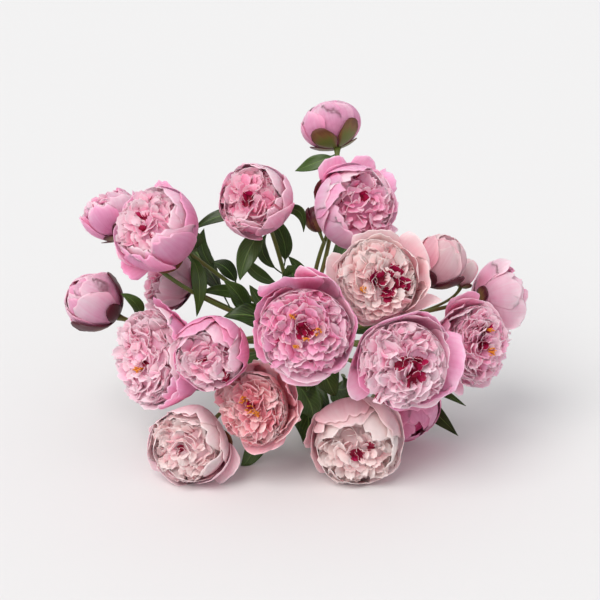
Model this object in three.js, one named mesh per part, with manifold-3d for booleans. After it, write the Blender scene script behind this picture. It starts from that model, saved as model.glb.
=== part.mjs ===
// A hand-tied bunch of double pink peonies, laid on its side on a table.
//
// The bunch is described in its own frame and then laid down. In that frame the origin is the
// middle of the tie, +Z runs forward along the bunch to the heads, +X runs across and +Y up.
// Lying down, it rests on its two lowest heads and on the cut ends of its stems, with the heads
// to the front (-Y) and the stems to the back. Sizes are in millimetres and angles in degrees.
import * as THREE from "three";
import { mergeVertices } from "three/addons/utils/BufferGeometryUtils.js";
import Module from "manifold-3d";

const wasm = await Module();
wasm.setup();

const { Vector3, Vector2, Matrix4, MathUtils } = THREE;
const rad = MathUtils.degToRad;

// Driving dimensions
const LIE_ANGLE = 24; // the bunch's axis above the table
const TIE_HEIGHT = 85; // the tie's middle above the table
const STEM_DIAMETER = 5.6;
const BRANCH_DIAMETER = 3.4;
const STEM_PITCH = 6; // between stems where the tie grips them
const STEM_TAIL = 166; // from the tie to the cut ends
const STEM_SPREAD = 0.35; // how much wider the bundle is at its cut ends than at the tie
const STEM_BENDS = 6; // how many steps a stem takes from the tie to its head
const TWINE_DIAMETER = 3.4;
const TIE_SLACK = 1; // from the outer stems to the twine, which their slant takes up in part
const PETAL_THICKNESS = 1;
const LEAF_THICKNESS = 1;
const STALK_THICKNESS = 1.8; // of a leaflet's stalk, and its width
const CALYX_THICKNESS = 1.2;
const CALYX_GAP = 3.2; // from the outermost petals' shell to the calyx,
const CALYX_SHARE = 0.1; // and what that gains with the head's radius
const TOUCH_GAP = 0.3; // between pieces that touch
const LEAF_GAP = 0.4; // the least between a leaflet and what it passes
const STEM_TENSION = 0.012; // how strongly a stem that is moved aside straightens again
const STEM_GAP = 1.5; // the least between two stems
const HEAD_GAP = 1.8; // between the middles of petals on two heads that press on each other
const PRESS_DEPTH = 10; // how far in from such a press the petals start to bend
const CORE_DROP = 1.5; // how far the core reaches below the petals' roots
const REST_LEVEL = 0.15; // the middle of a petal that is pressed flat on the table

const COLOURS = {
  petal: 0xe7a2c0,
  pale: 0xedc9cd,
  coral: 0xe993a6,
  stem: 0x4f6b2a,
  stamen: 0xd98a1c,
  twine: 0xb3925f,
};

// How open a head is. A ring of petals lies on a shell: share is the shell's width next to the
// head's radius, root its lowest point above the head's base, start and end its reach from the
// stem round to the tip, and half its petals' half width. The core is turned from the profile
// given as shares of the head's radius and height.
const FORMS = {
  bud: {
    rings: [
      { count: 5, share: 1, root: 0, start: 5, end: 134, half: 43, lap: 0.1, wave: 0.2, along: 3 },
    ],
    core: [[0.24, 0.02], [0.24, 0.2], [0.8, 0.75], [0.8, 1.2], [0.44, 1.66], [0, 1.76]],
    calyx: 56,
  },
  sideBud: {
    rings: [
      { count: 4, share: 1, root: 0, start: 5, end: 130, half: 54, lap: 0.1, wave: 0, along: 2 },
    ],
    core: [[0.24, 0.02], [0.24, 0.2], [0.76, 0.75], [0.76, 1.2], [0.4, 1.66], [0, 1.76]],
    calyx: 74,
  },
  bowl: {
    rings: [
      { count: 5, share: 1, root: 0, start: 5, end: 116, half: 46, lap: 0.08, wave: 0.6, along: 3 },
      { count: 4, share: 0.72, root: 4, start: 8, end: 122, half: 50, lap: 0.08, wave: 0.5, along: 2 },
    ],
    core: [[0.22, 0.02], [0.22, 0.3], [0.48, 0.62], [0.42, 1], [0, 1.24]],
    calyx: 52,
  },
  open: {
    rings: [
      { count: 5, share: 1, root: 0, start: 5, end: 98, half: 44, lap: 0.08, wave: 0.6, along: 3 },
      { count: 4, share: 0.76, root: 4, start: 8, end: 120, half: 51, lap: 0.08, wave: 0.6, along: 2 },
      { count: 3, share: 0.4, root: 4, start: 54, end: 130, half: 50, lap: 0.03, wave: 0.3, along: 1 },
    ],
    core: [[0.2, 0.02], [0.2, 0.3], [0.5, 0.6], [0.47, 0.86], [0, 0.86]],
    calyx: 44,
  },
  // A flower that is seen from behind has no third ring of petals.
  back: {
    rings: [
      { count: 5, share: 1, root: 0, start: 5, end: 98, half: 44, lap: 0.08, wave: 0.6, along: 2 },
      { count: 4, share: 0.76, root: 4, start: 8, end: 120, half: 51, lap: 0.08, wave: 0.6, along: 2 },
    ],
    core: [[0.2, 0.02], [0.2, 0.3], [0.5, 0.6], [0.44, 0.95], [0, 1.15]],
    calyx: 44,
  },
};

// The heads: at is a head's middle and faces the way it looks, both in the bunch's frame.
const FLOWERS = [
  { name: "open_mid", at: [5, 15, 250], faces: [0, -0.05, 1], radius: 60, height: 42, form: "open" },
  { name: "open_pale", at: [89, 65, 222], faces: [0.1, 0.1, 1], radius: 55, height: 42, form: "open" },
  { name: "open_big", at: [116, -22, 238], faces: [0.18, -0.1, 1], radius: 59, height: 42, form: "open" },
  { name: "bowl_mid", at: [-96, -15, 215], faces: [-0.1, -0.15, 1], radius: 42, height: 36, form: "bowl" },
  { name: "open_coral", at: [-48, -74, 190], faces: [-0.3, 0, 1], radius: 50, height: 40, form: "open" },
  { name: "bowl_low", at: [64, -116, 172], faces: [0.05, -0.3, 1], radius: 52, height: 44, form: "bowl" },
  { name: "bowl_pale", at: [-123, -119, 170], faces: [-0.2, -0.2, 1], radius: 46, height: 40, form: "bowl" },
  { name: "open_left", at: [-166, -23, 150], faces: [-0.8, -0.05, 1], radius: 64, height: 40, form: "open" },
  { name: "open_right", at: [196, -8, 150], faces: [0.8, -0.05, 1], radius: 54, height: 38, form: "open" },
  { name: "bowl_right", at: [63, 150, 138], faces: [0.42, 0.12, 1], radius: 49, height: 42, form: "bowl" },
  { name: "bowl_top", at: [-51, 157, 130], faces: [-0.25, 0.3, 1], radius: 43, height: 36, form: "bowl" },
  { name: "bowl_left", at: [-163, 124, 150], faces: [-0.3, 0.25, 1], radius: 49, height: 45, form: "bowl" },
  { name: "bud_right", at: [160, 88, 135], faces: [0.5, 0.85, 0.1], radius: 30, height: 31, form: "bud" },
  { name: "side_right", at: [236, 47, 80], faces: [0.9, 0.15, -0.35], radius: 46, height: 32, form: "back" },
  { name: "bud_left", at: [-241, 42, 95], faces: [-0.75, 0.5, 0.25], radius: 33, height: 33, form: "bud" },
  { name: "side_left", at: [-222, 146, 80], faces: [-0.4, 0.85, -0.25], radius: 38, height: 32, form: "back" },
  { name: "under_left", at: [-160, 68, 66], faces: [-0.8, 0.35, 0.2], radius: 38, height: 34, form: "back" },
  { name: "under_right", at: [122, -84, 98], faces: [0.5, -0.75, 0.45], radius: 44, height: 36, form: "back" },
  { name: "bud_top", at: [37, 253, 40], faces: [-0.25, 0.95, -0.2], radius: 36, height: 28, form: "bud" },
];

// A side bud shares a flower's stem: it leaves it at the share off of the way from the tie to
// the head. One that is still closed shows no petals.
const SIDE_BUDS = [
  {
    name: "bud_small",
    on: "side_right",
    off: 0.66,
    at: [194, 75, 92],
    faces: [0.35, 0.9, 0.1],
    radius: 15,
    height: 17,
    form: "sideBud",
  },
  {
    name: "bud_closed",
    on: "bowl_right",
    off: 0.72,
    at: [18, 138, 88],
    faces: [-0.3, 0.9, 0.1],
    radius: 11,
    height: 14,
    closed: true,
  },
];

// The leaflets: each leaves a flower's stem at the share off of the way from the tie to the head,
// runs to the point to, and sags or rises by bow on the way.
const LEAVES = [
  { stem: "bowl_top", off: 0.93, to: [-126, 124, 88], bow: [0, 12, 6], width: 17 },
  { stem: "bowl_top", off: 0.93, to: [4, 122, 96], bow: [13, 18, 0], width: 14 },
  { stem: "bowl_top", off: 0.88, to: [-70, 66, 92], bow: [-5, 4, 0], width: 25 },
  { stem: "bowl_top", off: 0.53, to: [-38, 146, 62], bow: [10, 0, -6], width: 23 },
  { stem: "bowl_top", off: 0.3, to: [-14, 94, 92], bow: [14, 0, 4], width: 18 },
  { stem: "bowl_top", off: 0.42, to: [-66, 96, 88], bow: [-8, -6, 4], width: 17 },
  { stem: "bowl_top", off: 0.49, to: [-40, 121, 50], bow: [-14, 0, 0], width: 14 },
  { stem: "bowl_top", off: 0.32, to: [-8, 70, 106], bow: [0, 14, 6], width: 26 },
  { stem: "bowl_left", off: 0.5, to: [-104, 88, 66], bow: [4, 6, 4], width: 20 },
  { stem: "bowl_left", off: 0.86, to: [-122, 24, 96], bow: [6, 8, 6], width: 18 },
  { stem: "bowl_left", off: 0.9, to: [-122, 104, 84], bow: [6, 6, 0], width: 24 },
  { stem: "bowl_left", off: 0.59, to: [-114, 128, 56], bow: [-12, 0, 0], width: 16 },
  { stem: "bowl_left", off: 0.36, to: [-116, 52, 80], bow: [0, 8, 6], width: 15 },
  { stem: "under_left", off: 0.53, to: [-88, 66, 112], bow: [6, 0, 12], width: 24 },
  { stem: "bowl_mid", off: 0.32, to: [-92, 24, 96], bow: [0, 10, 6], width: 30 },
  { stem: "bowl_mid", off: 0.19, to: [-58, 60, 110], bow: [-4, 0, 8], width: 20 },
  { stem: "bowl_mid", off: 0.75, to: [-134, -54, 134], bow: [0, -12, 4], width: 24 },
  { stem: "bud_left", off: 0.88, to: [-206, 50, 118], bow: [8, 4, 8], width: 16 },
  { stem: "open_coral", off: 0.36, to: [4, -124, 104], bow: [12, -10, 8], width: 40 },
  { stem: "open_coral", off: 0.75, to: [-68, -150, 122], bow: [0, -12, 0], width: 24 },
  { stem: "open_coral", off: 0.5, to: [14, -92, 140], bow: [10, -6, 10], width: 34 },
  { stem: "bowl_low", off: 0.32, to: [28, -106, 92], bow: [-6, -8, 6], width: 34 },
  { stem: "bowl_low", off: 0.55, to: [62, -50, 132], bow: [0, -8, 8], width: 36 },
  { stem: "open_mid", off: 0.45, to: [8, -62, 128], bow: [0, -12, 6], width: 36 },
  { stem: "open_mid", off: 0.6, to: [40, -66, 138], bow: [4, -10, 6], width: 34 },
  { stem: "under_right", off: 0.8, to: [186, -116, 84], bow: [10, 2, -16], width: 24 },
  { stem: "under_right", off: 0.53, to: [196, -82, 66], bow: [0, 8, -4], width: 18 },
  { stem: "bud_top", off: 0.97, to: [-6, 198, 34], bow: [2, 0, 6], width: 18 },
  { stem: "bud_top", off: 0.36, to: [70, 150, -20], bow: [10, 0, -8], width: 28 },
  { stem: "open_right", off: 0.32, to: [150, 30, 40], bow: [0, 8, -6], width: 30 },
  { stem: "side_right", off: 0.36, to: [128, 40, 0], bow: [0, 10, -8], width: 30 },
  { stem: "open_left", off: 0.25, to: [-128, -44, -4], bow: [0, 0, -8], width: 30 },
  { stem: "side_left", off: 0.42, to: [-150, 128, -4], bow: [0, 8, -8], width: 30 },
];

// The heads whose petals aren't the common pink
const PALE = ["open_pale", "bowl_low", "bowl_pale", "bud_small", "bud_right"];
const CORAL = ["open_coral"];

// Heads that show a tuft of stamens between their inner petals
const STAMENS = ["open_mid", "open_coral", "open_right"];
const TUFT = { stamens: 6, length: 13, diameter: 1.8, base: 9, baseHeight: 1.8 };

// A number from 0 to 1 that is always the same for the same two whole numbers.
function draw(seed, index) {
  const wave = Math.sin(seed * 127.1 + index * 311.7) * 43758.5453;
  return wave - Math.floor(wave);
}

const around = (seed, index) => 2 * draw(seed, index) - 1;

// From the bunch's frame to the table's: tipped back from upright, then raised.
const laidDown = new Matrix4()
  .makeTranslation(0, 0, TIE_HEIGHT)
  .multiply(new Matrix4().makeRotationX(rad(90 - LIE_ANGLE)));
const turned = (list) => new Vector3(...list).applyMatrix4(new Matrix4().extractRotation(laidDown));
const forward = turned([0, 0, 1]);

// Each head's place on the table, its axis, and the turn from its own frame to the table's.
function setHead(flower, index) {
  flower.seed = index + 1;
  flower.axis = new Vector3(...flower.faces).transformDirection(laidDown);
  flower.middle = new Vector3(...flower.at).applyMatrix4(laidDown);
  flower.base = flower.middle.clone().addScaledVector(flower.axis, -flower.height);
  flower.turn = new THREE.Quaternion().setFromUnitVectors(new Vector3(0, 0, 1), flower.axis);
}
const HEADS = [...FLOWERS, ...SIDE_BUDS];
HEADS.forEach(setHead);
const headNamed = (name) => HEADS.find((head) => head.name === name);

// How far a head reaches from its middle in a direction.
function reachOf(head, direction) {
  const along = direction.dot(head.axis);
  return Math.hypot(head.radius * Math.sqrt(Math.max(0, 1 - along * along)), head.height * along);
}

// The planes in which a head presses on its neighbours.
function pressesOf(head) {
  return HEADS.filter((other) => other !== head).flatMap((other) => {
    const normal = other.middle.clone().sub(head.middle);
    const apart = normal.length();
    normal.normalize();
    const mine = reachOf(head, normal);
    const theirs = reachOf(other, normal.clone().negate());
    const overlap = mine + theirs + HEAD_GAP - apart;
    return overlap > 0 ? [{ normal, limit: mine - (overlap * mine) / (mine + theirs) }] : [];
  });
}
HEADS.forEach((head) => (head.presses = pressesOf(head)));

// A petal's point, bent clear of the neighbouring heads and of the table.
function bentClear(point, head) {
  for (const { normal, limit } of head.presses) {
    const out = point.clone().sub(head.middle).dot(normal) - (limit - PRESS_DEPTH);
    if (out > 0) point.addScaledVector(normal, PRESS_DEPTH * (1 - Math.exp(-out / PRESS_DEPTH)) - out);
  }
  point.z = Math.max(point.z, REST_LEVEL);
  return point;
}

// A stem's or leaf's point, pushed out of every head's egg that it doesn't belong to.
function pushedOut(point, clear, own = []) {
  for (const head of HEADS) {
    if (own.includes(head.name)) continue;
    const from = point.clone().sub(head.middle);
    const along = from.dot(head.axis);
    const side = from.clone().addScaledVector(head.axis, -along);
    const depth = Math.hypot(side.length() / (head.radius + clear), along / (head.height + clear));
    if (depth < 1) point.copy(head.middle).addScaledVector(from, 1 / depth);
  }
  return point;
}

// A manifold-3d solid of a closed geometry.
function solidOf(geometry) {
  const bare = new THREE.BufferGeometry().setAttribute("position", geometry.getAttribute("position"));
  if (geometry.index) bare.setIndex(geometry.index);
  const merged = mergeVertices(bare, 1e-4);
  return new wasm.Manifold(
    new wasm.Mesh({
      numProp: 3,
      vertProperties: new Float32Array(merged.attributes.position.array),
      triVerts: new Uint32Array(merged.index.array),
    }),
  );
}

// The solids joined, with what lies loose dropped and what is sealed inside filled.
function joined(solids) {
  const bodies = wasm.Manifold.union(solids).decompose();
  return bodies.reduce((most, body) => (body.volume() > most.volume() ? body : most));
}

function geometryOf(solid) {
  const { numProp, numVert, vertProperties, triVerts } = solid.getMesh();
  const positions = new Float32Array(numVert * 3);
  for (let i = 0; i < numVert; i++) {
    positions.set(vertProperties.subarray(i * numProp, i * numProp + 3), i * 3);
  }
  const geometry = new THREE.BufferGeometry();
  geometry.setAttribute("position", new THREE.BufferAttribute(positions, 3));
  geometry.setIndex(new THREE.BufferAttribute(new Uint32Array(triVerts), 1));
  geometry.computeVertexNormals();
  return geometry;
}

// A thin closed solid round a grid of points. A first or last row may be a single point, and both
// faces are split into the same triangles. The thickness may differ from row to row.
function blade(rows, thicknessAt) {
  const points = rows.flat();
  const starts = rows.map((row, i) => rows.slice(0, i).reduce((sum, before) => sum + before.length, 0));
  const thickness = rows.flatMap((row, i) => row.map(() => thicknessAt(i / (rows.length - 1))));
  const faces = [];
  for (let i = 0; i + 1 < rows.length; i++) {
    const [low, high] = [rows[i].length, rows[i + 1].length];
    for (let j = 0; j + 1 < Math.max(low, high); j++) {
      const [a, b] = low > 1 ? [starts[i] + j, starts[i] + j + 1] : [starts[i], starts[i]];
      const next = starts[i + 1];
      const [d, c] = high > 1 ? [next + j, next + j + 1] : [next, next];
      if (a !== b) faces.push([a, b, c]);
      if (c !== d) faces.push([a, c, d]);
    }
  }
  const normals = points.map(() => new Vector3());
  for (const [a, b, c] of faces) {
    const ab = points[b].clone().sub(points[a]);
    const across = ab.cross(points[c].clone().sub(points[a]));
    [a, b, c].forEach((corner) => normals[corner].add(across));
  }
  const count = points.length;
  const positions = [1, -1].flatMap((side) =>
    points.flatMap((point, i) =>
      point.clone().addScaledVector(normals[i].clone().normalize(), (side * thickness[i]) / 2).toArray(),
    ),
  );
  const edges = new Set(faces.flatMap(([a, b, c]) => [`${a} ${b}`, `${b} ${c}`, `${c} ${a}`]));
  const index = faces.flatMap(([a, b, c]) => [a, b, c, a + count, c + count, b + count]);
  for (const edge of edges) {
    const [a, b] = edge.split(" ").map(Number);
    if (!edges.has(`${b} ${a}`)) index.push(b, a, a + count, b, a + count, b + count);
  }
  const geometry = new THREE.BufferGeometry();
  geometry.setAttribute("position", new THREE.BufferAttribute(new Float32Array(positions), 3));
  geometry.setIndex(index);
  return solidOf(geometry);
}

// A point of a petal in its head's own frame: u runs across it from -1 to 1 and v from root to tip.
function petalPoint(head, ring, spec, u, v) {
  const round = 0.1 + 0.08 * draw(spec.seed, 1);
  const notch = 0.05 * Math.sin(7 * u + 6 * draw(spec.seed, 2));
  const out = rad(ring.start + (spec.end - ring.start) * v * (1 - round * u * u + notch * v));
  const turn = spec.turn + rad(ring.half) * u * (0.6 + 0.4 * v);
  const ripple = ring.wave * v * v * Math.sin(5 * u + 6 * draw(spec.seed, 3));
  const radius = ((ring.share + ring.lap * u * v) * head.radius + ripple) * Math.sin(out);
  return new Vector3(
    radius * Math.cos(turn),
    radius * Math.sin(turn),
    ring.root + head.height * (1 - Math.cos(out)),
  );
}

// A petal: a narrow root that is sunk in the core, and a blade three points wide.
function petal(head, ring, number) {
  const seed = head.seed * 100 + ring.seed * 20 + number;
  const spec = {
    seed,
    turn: (2 * Math.PI * (number + 0.5 * ring.seed + 0.06 * around(seed, 4))) / ring.count,
    end: ring.end + 6 * around(seed, 5),
  };
  const placed = (u, v) =>
    bentClear(petalPoint(head, ring, spec, u, v).applyQuaternion(head.turn).add(head.base), head);
  const rows = [[placed(0, 0)]];
  for (let i = 1; i <= ring.along; i++) rows.push([-1, 0, 1].map((u) => placed(u, i / ring.along)));
  return blade(rows, () => PETAL_THICKNESS);
}

// The packed middle of a head, which its petals stand out of: a neck with a wider cap.
function core(head) {
  const profile = FORMS[head.form].core.map(([r, z]) => new Vector2(r * head.radius, z * head.height));
  const geometry = new THREE.LatheGeometry([new Vector2(0, -CORE_DROP), ...profile], 6);
  geometry.rotateX(Math.PI / 2);
  const place = geometry.getAttribute("position");
  for (let i = 0; i < place.count; i++) {
    const point = new Vector3().fromBufferAttribute(place, i).applyQuaternion(head.turn).add(head.base);
    place.setXYZ(i, ...bentClear(point, head));
  }
  return solidOf(geometry);
}

// What would reach below the table's top is cut off there.
const belowTable = solidOf(new THREE.BoxGeometry(1000, 1000, 20).translate(0, 0, -10));

function bloom(head) {
  const pieces = [core(head)];
  FORMS[head.form].rings.forEach((ring, seed) => {
    for (let number = 0; number < ring.count; number++) pieces.push(petal(head, { ...ring, seed }, number));
  });
  return joined([joined(pieces).subtract(belowTable)]);
}

// A tuft of stamens, which stands on the flat top of its head's core.
function tuft(head) {
  const { stamens, length, diameter, base, baseHeight } = TUFT;
  const foot = new THREE.CylinderGeometry(base / 2, base / 2, baseHeight, 6);
  foot.translate(0, baseHeight / 2, 0);
  const pieces = [solidOf(foot)];
  for (let i = 0; i < stamens; i++) {
    const stamen = new THREE.CylinderGeometry(0.6 * diameter, 0.4 * diameter, length, 3);
    stamen.translate(0, length / 2, 0);
    stamen.rotateZ(rad(i ? 24 : 4));
    stamen.translate(i ? -base / 5 : 0, baseHeight / 2, 0);
    stamen.rotateY((2 * Math.PI * i) / (stamens - 1) + 0.3 * draw(head.seed, 20 + i));
    pieces.push(solidOf(stamen));
  }
  const top = FORMS[head.form].core.at(-1)[1] * head.height + TOUCH_GAP;
  const geometry = geometryOf(joined(pieces));
  geometry.rotateX(Math.PI / 2);
  geometry.translate(0, 0, top);
  geometry.applyQuaternion(head.turn);
  return geometry.translate(...head.base);
}

// The stems' places in the bundle at the tie: one, then rings of six and twelve round it.
const SLOTS = [1, 6, 12].flatMap((count, ring) =>
  Array.from({ length: count }, (_, i) => ({
    ring,
    turn: (2 * Math.PI * (ring === 2 ? i + 0.5 : i)) / count,
  })),
);

// Heads that stand nearest the bunch's axis have the inner places, so that no stems cross.
function bundlePlaces() {
  const lean = ({ at: [x, y, z] }) => Math.hypot(x, y) / (z + 60);
  const bearing = ({ at: [x, y] }) => (Math.atan2(y, x) + 2 * Math.PI) % (2 * Math.PI);
  const outward = [...FLOWERS].sort((a, b) => lean(a) - lean(b));
  const places = new Map();
  for (const ring of [0, 1, 2]) {
    const slots = SLOTS.filter((slot) => slot.ring === ring);
    const heads = outward.splice(0, slots.length).sort((a, b) => bearing(a) - bearing(b));
    const twist = bestTwist(slots, heads.map(bearing));
    heads.forEach((head, i) => {
      const { turn } = slots[(i + twist) % slots.length];
      const out = ring * STEM_PITCH;
      places.set(head.name, new Vector3(out * Math.cos(turn), out * Math.sin(turn), 0));
    });
  }
  return places;
}

// The step round the ring that brings its places closest to the heads' bearings.
function bestTwist(slots, bearings) {
  const miss = (twist) =>
    bearings.reduce((sum, bearing, i) => sum - Math.cos(slots[(i + twist) % slots.length].turn - bearing), 0);
  return slots.map((_, twist) => twist).reduce((best, twist) => (miss(twist) < miss(best) ? twist : best));
}

const places = bundlePlaces();

// A stem's line, which a swept tube follows step by step through its own points.
class Route extends THREE.CatmullRomCurve3 {
  constructor(points, end) {
    super(points, false, "centripetal");
    this.end = end;
  }

  getPointAt(u, target) {
    return this.getPoint(u, target);
  }

  // Up to the tie the tube stays square to its straight tail, and its top is square to its head.
  getTangentAt(u, target = new Vector3()) {
    if (u === 1) return target.copy(this.end);
    return this.getTangent(u * (this.points.length - 1) < 1.5 ? 0 : u, target);
  }

  // The point at a share of the way from the tie to the head.
  pastTie(share) {
    const steps = this.points.length - 1;
    return this.getPoint((1 + share * (steps - 1)) / steps);
  }
}

// A stem's points: its cut end, the tie, and a bend from there to the middle of its head's base.
function stemPoints(head) {
  const slot = places.get(head.name);
  const cut = slot.clone().multiplyScalar(1 + STEM_SPREAD).setZ(-STEM_TAIL + 5 * around(head.seed, 9));
  const [tail, tie] = [cut.applyMatrix4(laidDown), slot.clone().applyMatrix4(laidDown)];
  const end = underside(head);
  const apart = end.distanceTo(tie);
  const leave = tie.clone().addScaledVector(forward, 0.4 * apart);
  const arrive = end.clone().addScaledVector(head.axis, -0.3 * apart);
  return [tail, ...new THREE.CubicBezierCurve3(tie, leave, arrive, end).getPoints(STEM_BENDS)];
}

// Where a stem ends: just clear of the lowest point of its head.
const underside = (head) => head.base.clone().addScaledVector(head.axis, -CORE_DROP - TOUCH_GAP);

// Stems that come too near each other or a head are moved apart a little at a time.
function settle(stems) {
  const [one, other] = [new THREE.Line3(), new THREE.Line3()];
  const [here, there] = [new Vector3(), new Vector3()];
  const movable = (points, i) => i > 1 && i < points.length - 1;
  for (let round = 0; round < 90; round++) {
    for (const a of stems) {
      for (const b of stems) {
        if (a === b) continue;
        for (let i = 1; i + 1 < a.points.length; i++) {
          for (let j = 0; j + 1 < b.points.length; j++) {
            one.set(a.points[i], a.points[i + 1]);
            other.set(b.points[j], b.points[j + 1]);
            const apart = Math.sqrt(one.distanceSqToLine3(other, here, there));
            const short = (i > 1 && j > 1 ? STEM_DIAMETER + STEM_GAP : STEM_PITCH - 0.2) - apart;
            if (short <= 0 || apart < 1e-6) continue;
            const away = here.clone().sub(there).multiplyScalar((0.4 * short) / apart);
            for (const k of [i, i + 1]) if (movable(a.points, k)) a.points[k].add(away);
          }
        }
      }
      for (let i = 1; i + 1 < a.points.length; i++) {
        for (const share of [0, 0.25, 0.5, 0.75]) {
          const point = a.points[i].clone().lerp(a.points[i + 1], share);
          const push = pushedOut(point.clone(), STEM_DIAMETER / 2 + 3, [a.head.name]).sub(point);
          for (const k of [i, i + 1]) if (movable(a.points, k)) a.points[k].add(push);
        }
        const level = a.points[i - 1].clone().lerp(a.points[i + 1], 0.5);
        if (movable(a.points, i)) a.points[i].lerp(level, STEM_TENSION);
      }
    }
  }
}

// A tube of five sides along a route.
function tube(curve, diameter) {
  const corners = Array.from({ length: 5 }, (_, i) => (2 * Math.PI * i) / 5);
  const section = new THREE.Shape(
    corners.map((turn) => new Vector2((Math.cos(turn) * diameter) / 2, (Math.sin(turn) * diameter) / 2)),
  );
  const steps = curve.points.length - 1;
  return solidOf(new THREE.ExtrudeGeometry(section, { steps, bevelEnabled: false, extrudePath: curve }));
}

// Whether a point of a calyx lies clear of the heads that press on its own, and of the table.
function standsClear(point, head) {
  const from = point.clone().sub(head.middle);
  return point.z > 2 && head.presses.every(({ normal, limit }) => from.dot(normal) < limit - 3);
}

// The calyx: five rounded sepals grown together into a cup that hugs the head from behind.
function calyx(head) {
  const columns = 10;
  const reach = FORMS[head.form].calyx;
  const point = (turn, out, thick) => {
    const radius = head.radius * (1 + CALYX_SHARE) + CALYX_GAP + thick;
    const drop = CORE_DROP + TOUCH_GAP + thick;
    return new Vector3(
      radius * Math.sin(out) * Math.cos(turn),
      radius * Math.sin(out) * Math.sin(turn),
      (head.height + drop) * (1 - Math.cos(out)) - drop,
    ).applyQuaternion(head.turn).add(head.base);
  };
  const turns = Array.from({ length: columns }, (_, i) => (2 * Math.PI * i) / columns + head.seed);
  const tips = turns.map((turn, i) => {
    let out = reach * (i % 2 ? 1 : 0.66);
    while (out > 14 && !standsClear(point(turn, rad(out), CALYX_THICKNESS), head)) out -= 3;
    return rad(out);
  });
  const positions = [0, CALYX_THICKNESS].flatMap((thick) => [
    point(0, 0, thick),
    ...turns.map((turn, i) => point(turn, 0.5 * tips[i], thick)),
    ...turns.map((turn, i) => point(turn, tips[i], thick)),
  ]);
  const count = 1 + 2 * columns;
  const index = [];
  for (let i = 0; i < columns; i++) {
    const next = (i + 1) % columns;
    const [a, b, c, d] = [1 + i, 1 + next, 1 + columns + next, 1 + columns + i];
    index.push(0, a, b, a, d, c, a, c, b);
    index.push(count, count + b, count + a, count + a, count + c, count + d, count + a, count + b, count + c);
    index.push(d, count + d, count + c, d, count + c, c);
  }
  const geometry = new THREE.BufferGeometry();
  const flat = new Float32Array(positions.flatMap((place) => place.toArray()));
  geometry.setAttribute("position", new THREE.BufferAttribute(flat, 3));
  geometry.setIndex(index);
  return solidOf(geometry);
}

// A bud that is still wrapped in its sepals.
function closedBud(head) {
  const geometry = new THREE.SphereGeometry(1, 7, 6);
  geometry.rotateX(Math.PI / 2);
  geometry.scale(head.radius, head.radius, head.height);
  geometry.applyQuaternion(head.turn);
  geometry.translate(...head.middle);
  return solidOf(geometry);
}

// A leaflet: a narrow stalk that widens into a blade, folded a little along its rib.
function leaf({ off, to, bow, width }, route, seed, shift) {
  const from = route.pastTie(off);
  const tip = new Vector3(...to).applyMatrix4(laidDown).addScaledVector(shift, 0.5);
  const middle = from.clone().lerp(tip, 0.5).addScaledVector(turned(bow), 2).addScaledVector(shift, 1.5);
  const line = new THREE.QuadraticBezierCurve3(from, middle, tip);
  const outline = [[0, 0], [0.2, 0], [0.46, 0.46], [0.74, 0.42]];
  const rows = outline.map(([v, share]) => {
    const tangent = line.getTangent(v);
    const across = tangent.clone().cross(forward).normalize().applyAxisAngle(tangent, 0.6 * around(seed, 6));
    const up = across.clone().cross(tangent);
    const half = Math.max(share * width, STALK_THICKNESS / 2);
    return [-1, 0, 1].map((side) => {
      const point = line.getPoint(v).addScaledVector(across, side * half);
      if (share) point.addScaledVector(up, 0.2 * half * Math.abs(side));
      return v ? pushedOut(point, 2.2) : point;
    });
  });
  rows.push([pushedOut(tip, 2.2)]);
  rows.flat().forEach((point) => point.setZ(Math.max(point.z, 1.5)));
  return blade(rows, (v) => (v < 0.3 ? STALK_THICKNESS : LEAF_THICKNESS));
}

// How far a leaflet may be moved aside, nearest first, until it lies clear.
const SHIFTS = [0, 5, 10, 16, 22, 30].flatMap((far) =>
  Array.from({ length: far ? 8 : 1 }, (_, i) =>
    turned([far * Math.cos((i * Math.PI) / 4) * 0.6, 0, far * Math.sin((i * Math.PI) / 4)]),
  ),
);

// A stem with its calyx, and with the branch and calyx of the side bud that it carries.
function bareStem(head) {
  const pieces = [tube(head.route, STEM_DIAMETER), calyx(head)];
  for (const bud of SIDE_BUDS.filter(({ on }) => on === head.name)) {
    const end = underside(bud);
    const arrive = end.clone().addScaledVector(bud.axis, -20);
    const bend = new THREE.QuadraticBezierCurve3(head.route.pastTie(bud.off), arrive, end);
    pieces.push(tube(new Route(bend.getPoints(3), bud.axis), BRANCH_DIAMETER));
    pieces.push(bud.closed ? closedBud(bud) : calyx(bud));
  }
  return joined(pieces);
}

// The tie: twine wound three times round the bundle, as one ribbed ring.
function tie() {
  const inside = 2 * STEM_PITCH + STEM_DIAMETER / 2 + TIE_SLACK;
  const half = TWINE_DIAMETER / 2;
  const profile = [new Vector2(inside, -3 * half)];
  for (const turn of [-2, 0, 2]) {
    profile.push(new Vector2(inside + half, turn * half));
    profile.push(new Vector2(inside + 0.3 * half, (turn + 1) * half));
  }
  profile.at(-1).x = inside;
  const ring = new THREE.LatheGeometry([...profile, profile[0]], 14);
  ring.rotateX(Math.PI / 2);
  ring.translate(0, 0, -3 * half);
  return ring.applyMatrix4(laidDown);
}

function petalColour(name) {
  if (PALE.includes(name)) return COLOURS.pale;
  return CORAL.includes(name) ? COLOURS.coral : COLOURS.petal;
}

function part(name, geometry, color) {
  const material = new THREE.MeshStandardMaterial({ color, roughness: 0.7, metalness: 0 });
  const mesh = new THREE.Mesh(geometry, material);
  mesh.name = name;
  return mesh;
}

const stemLines = FLOWERS.map((head) => ({ head, points: stemPoints(head) }));
settle(stemLines);
stemLines.forEach(({ head, points }) => (head.route = new Route(points, head.axis)));

const blooms = HEADS.filter((head) => !head.closed).map((head) => ({ head, solid: bloom(head) }));
const stems = FLOWERS.map((head) => ({ head, solid: bareStem(head) }));

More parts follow.
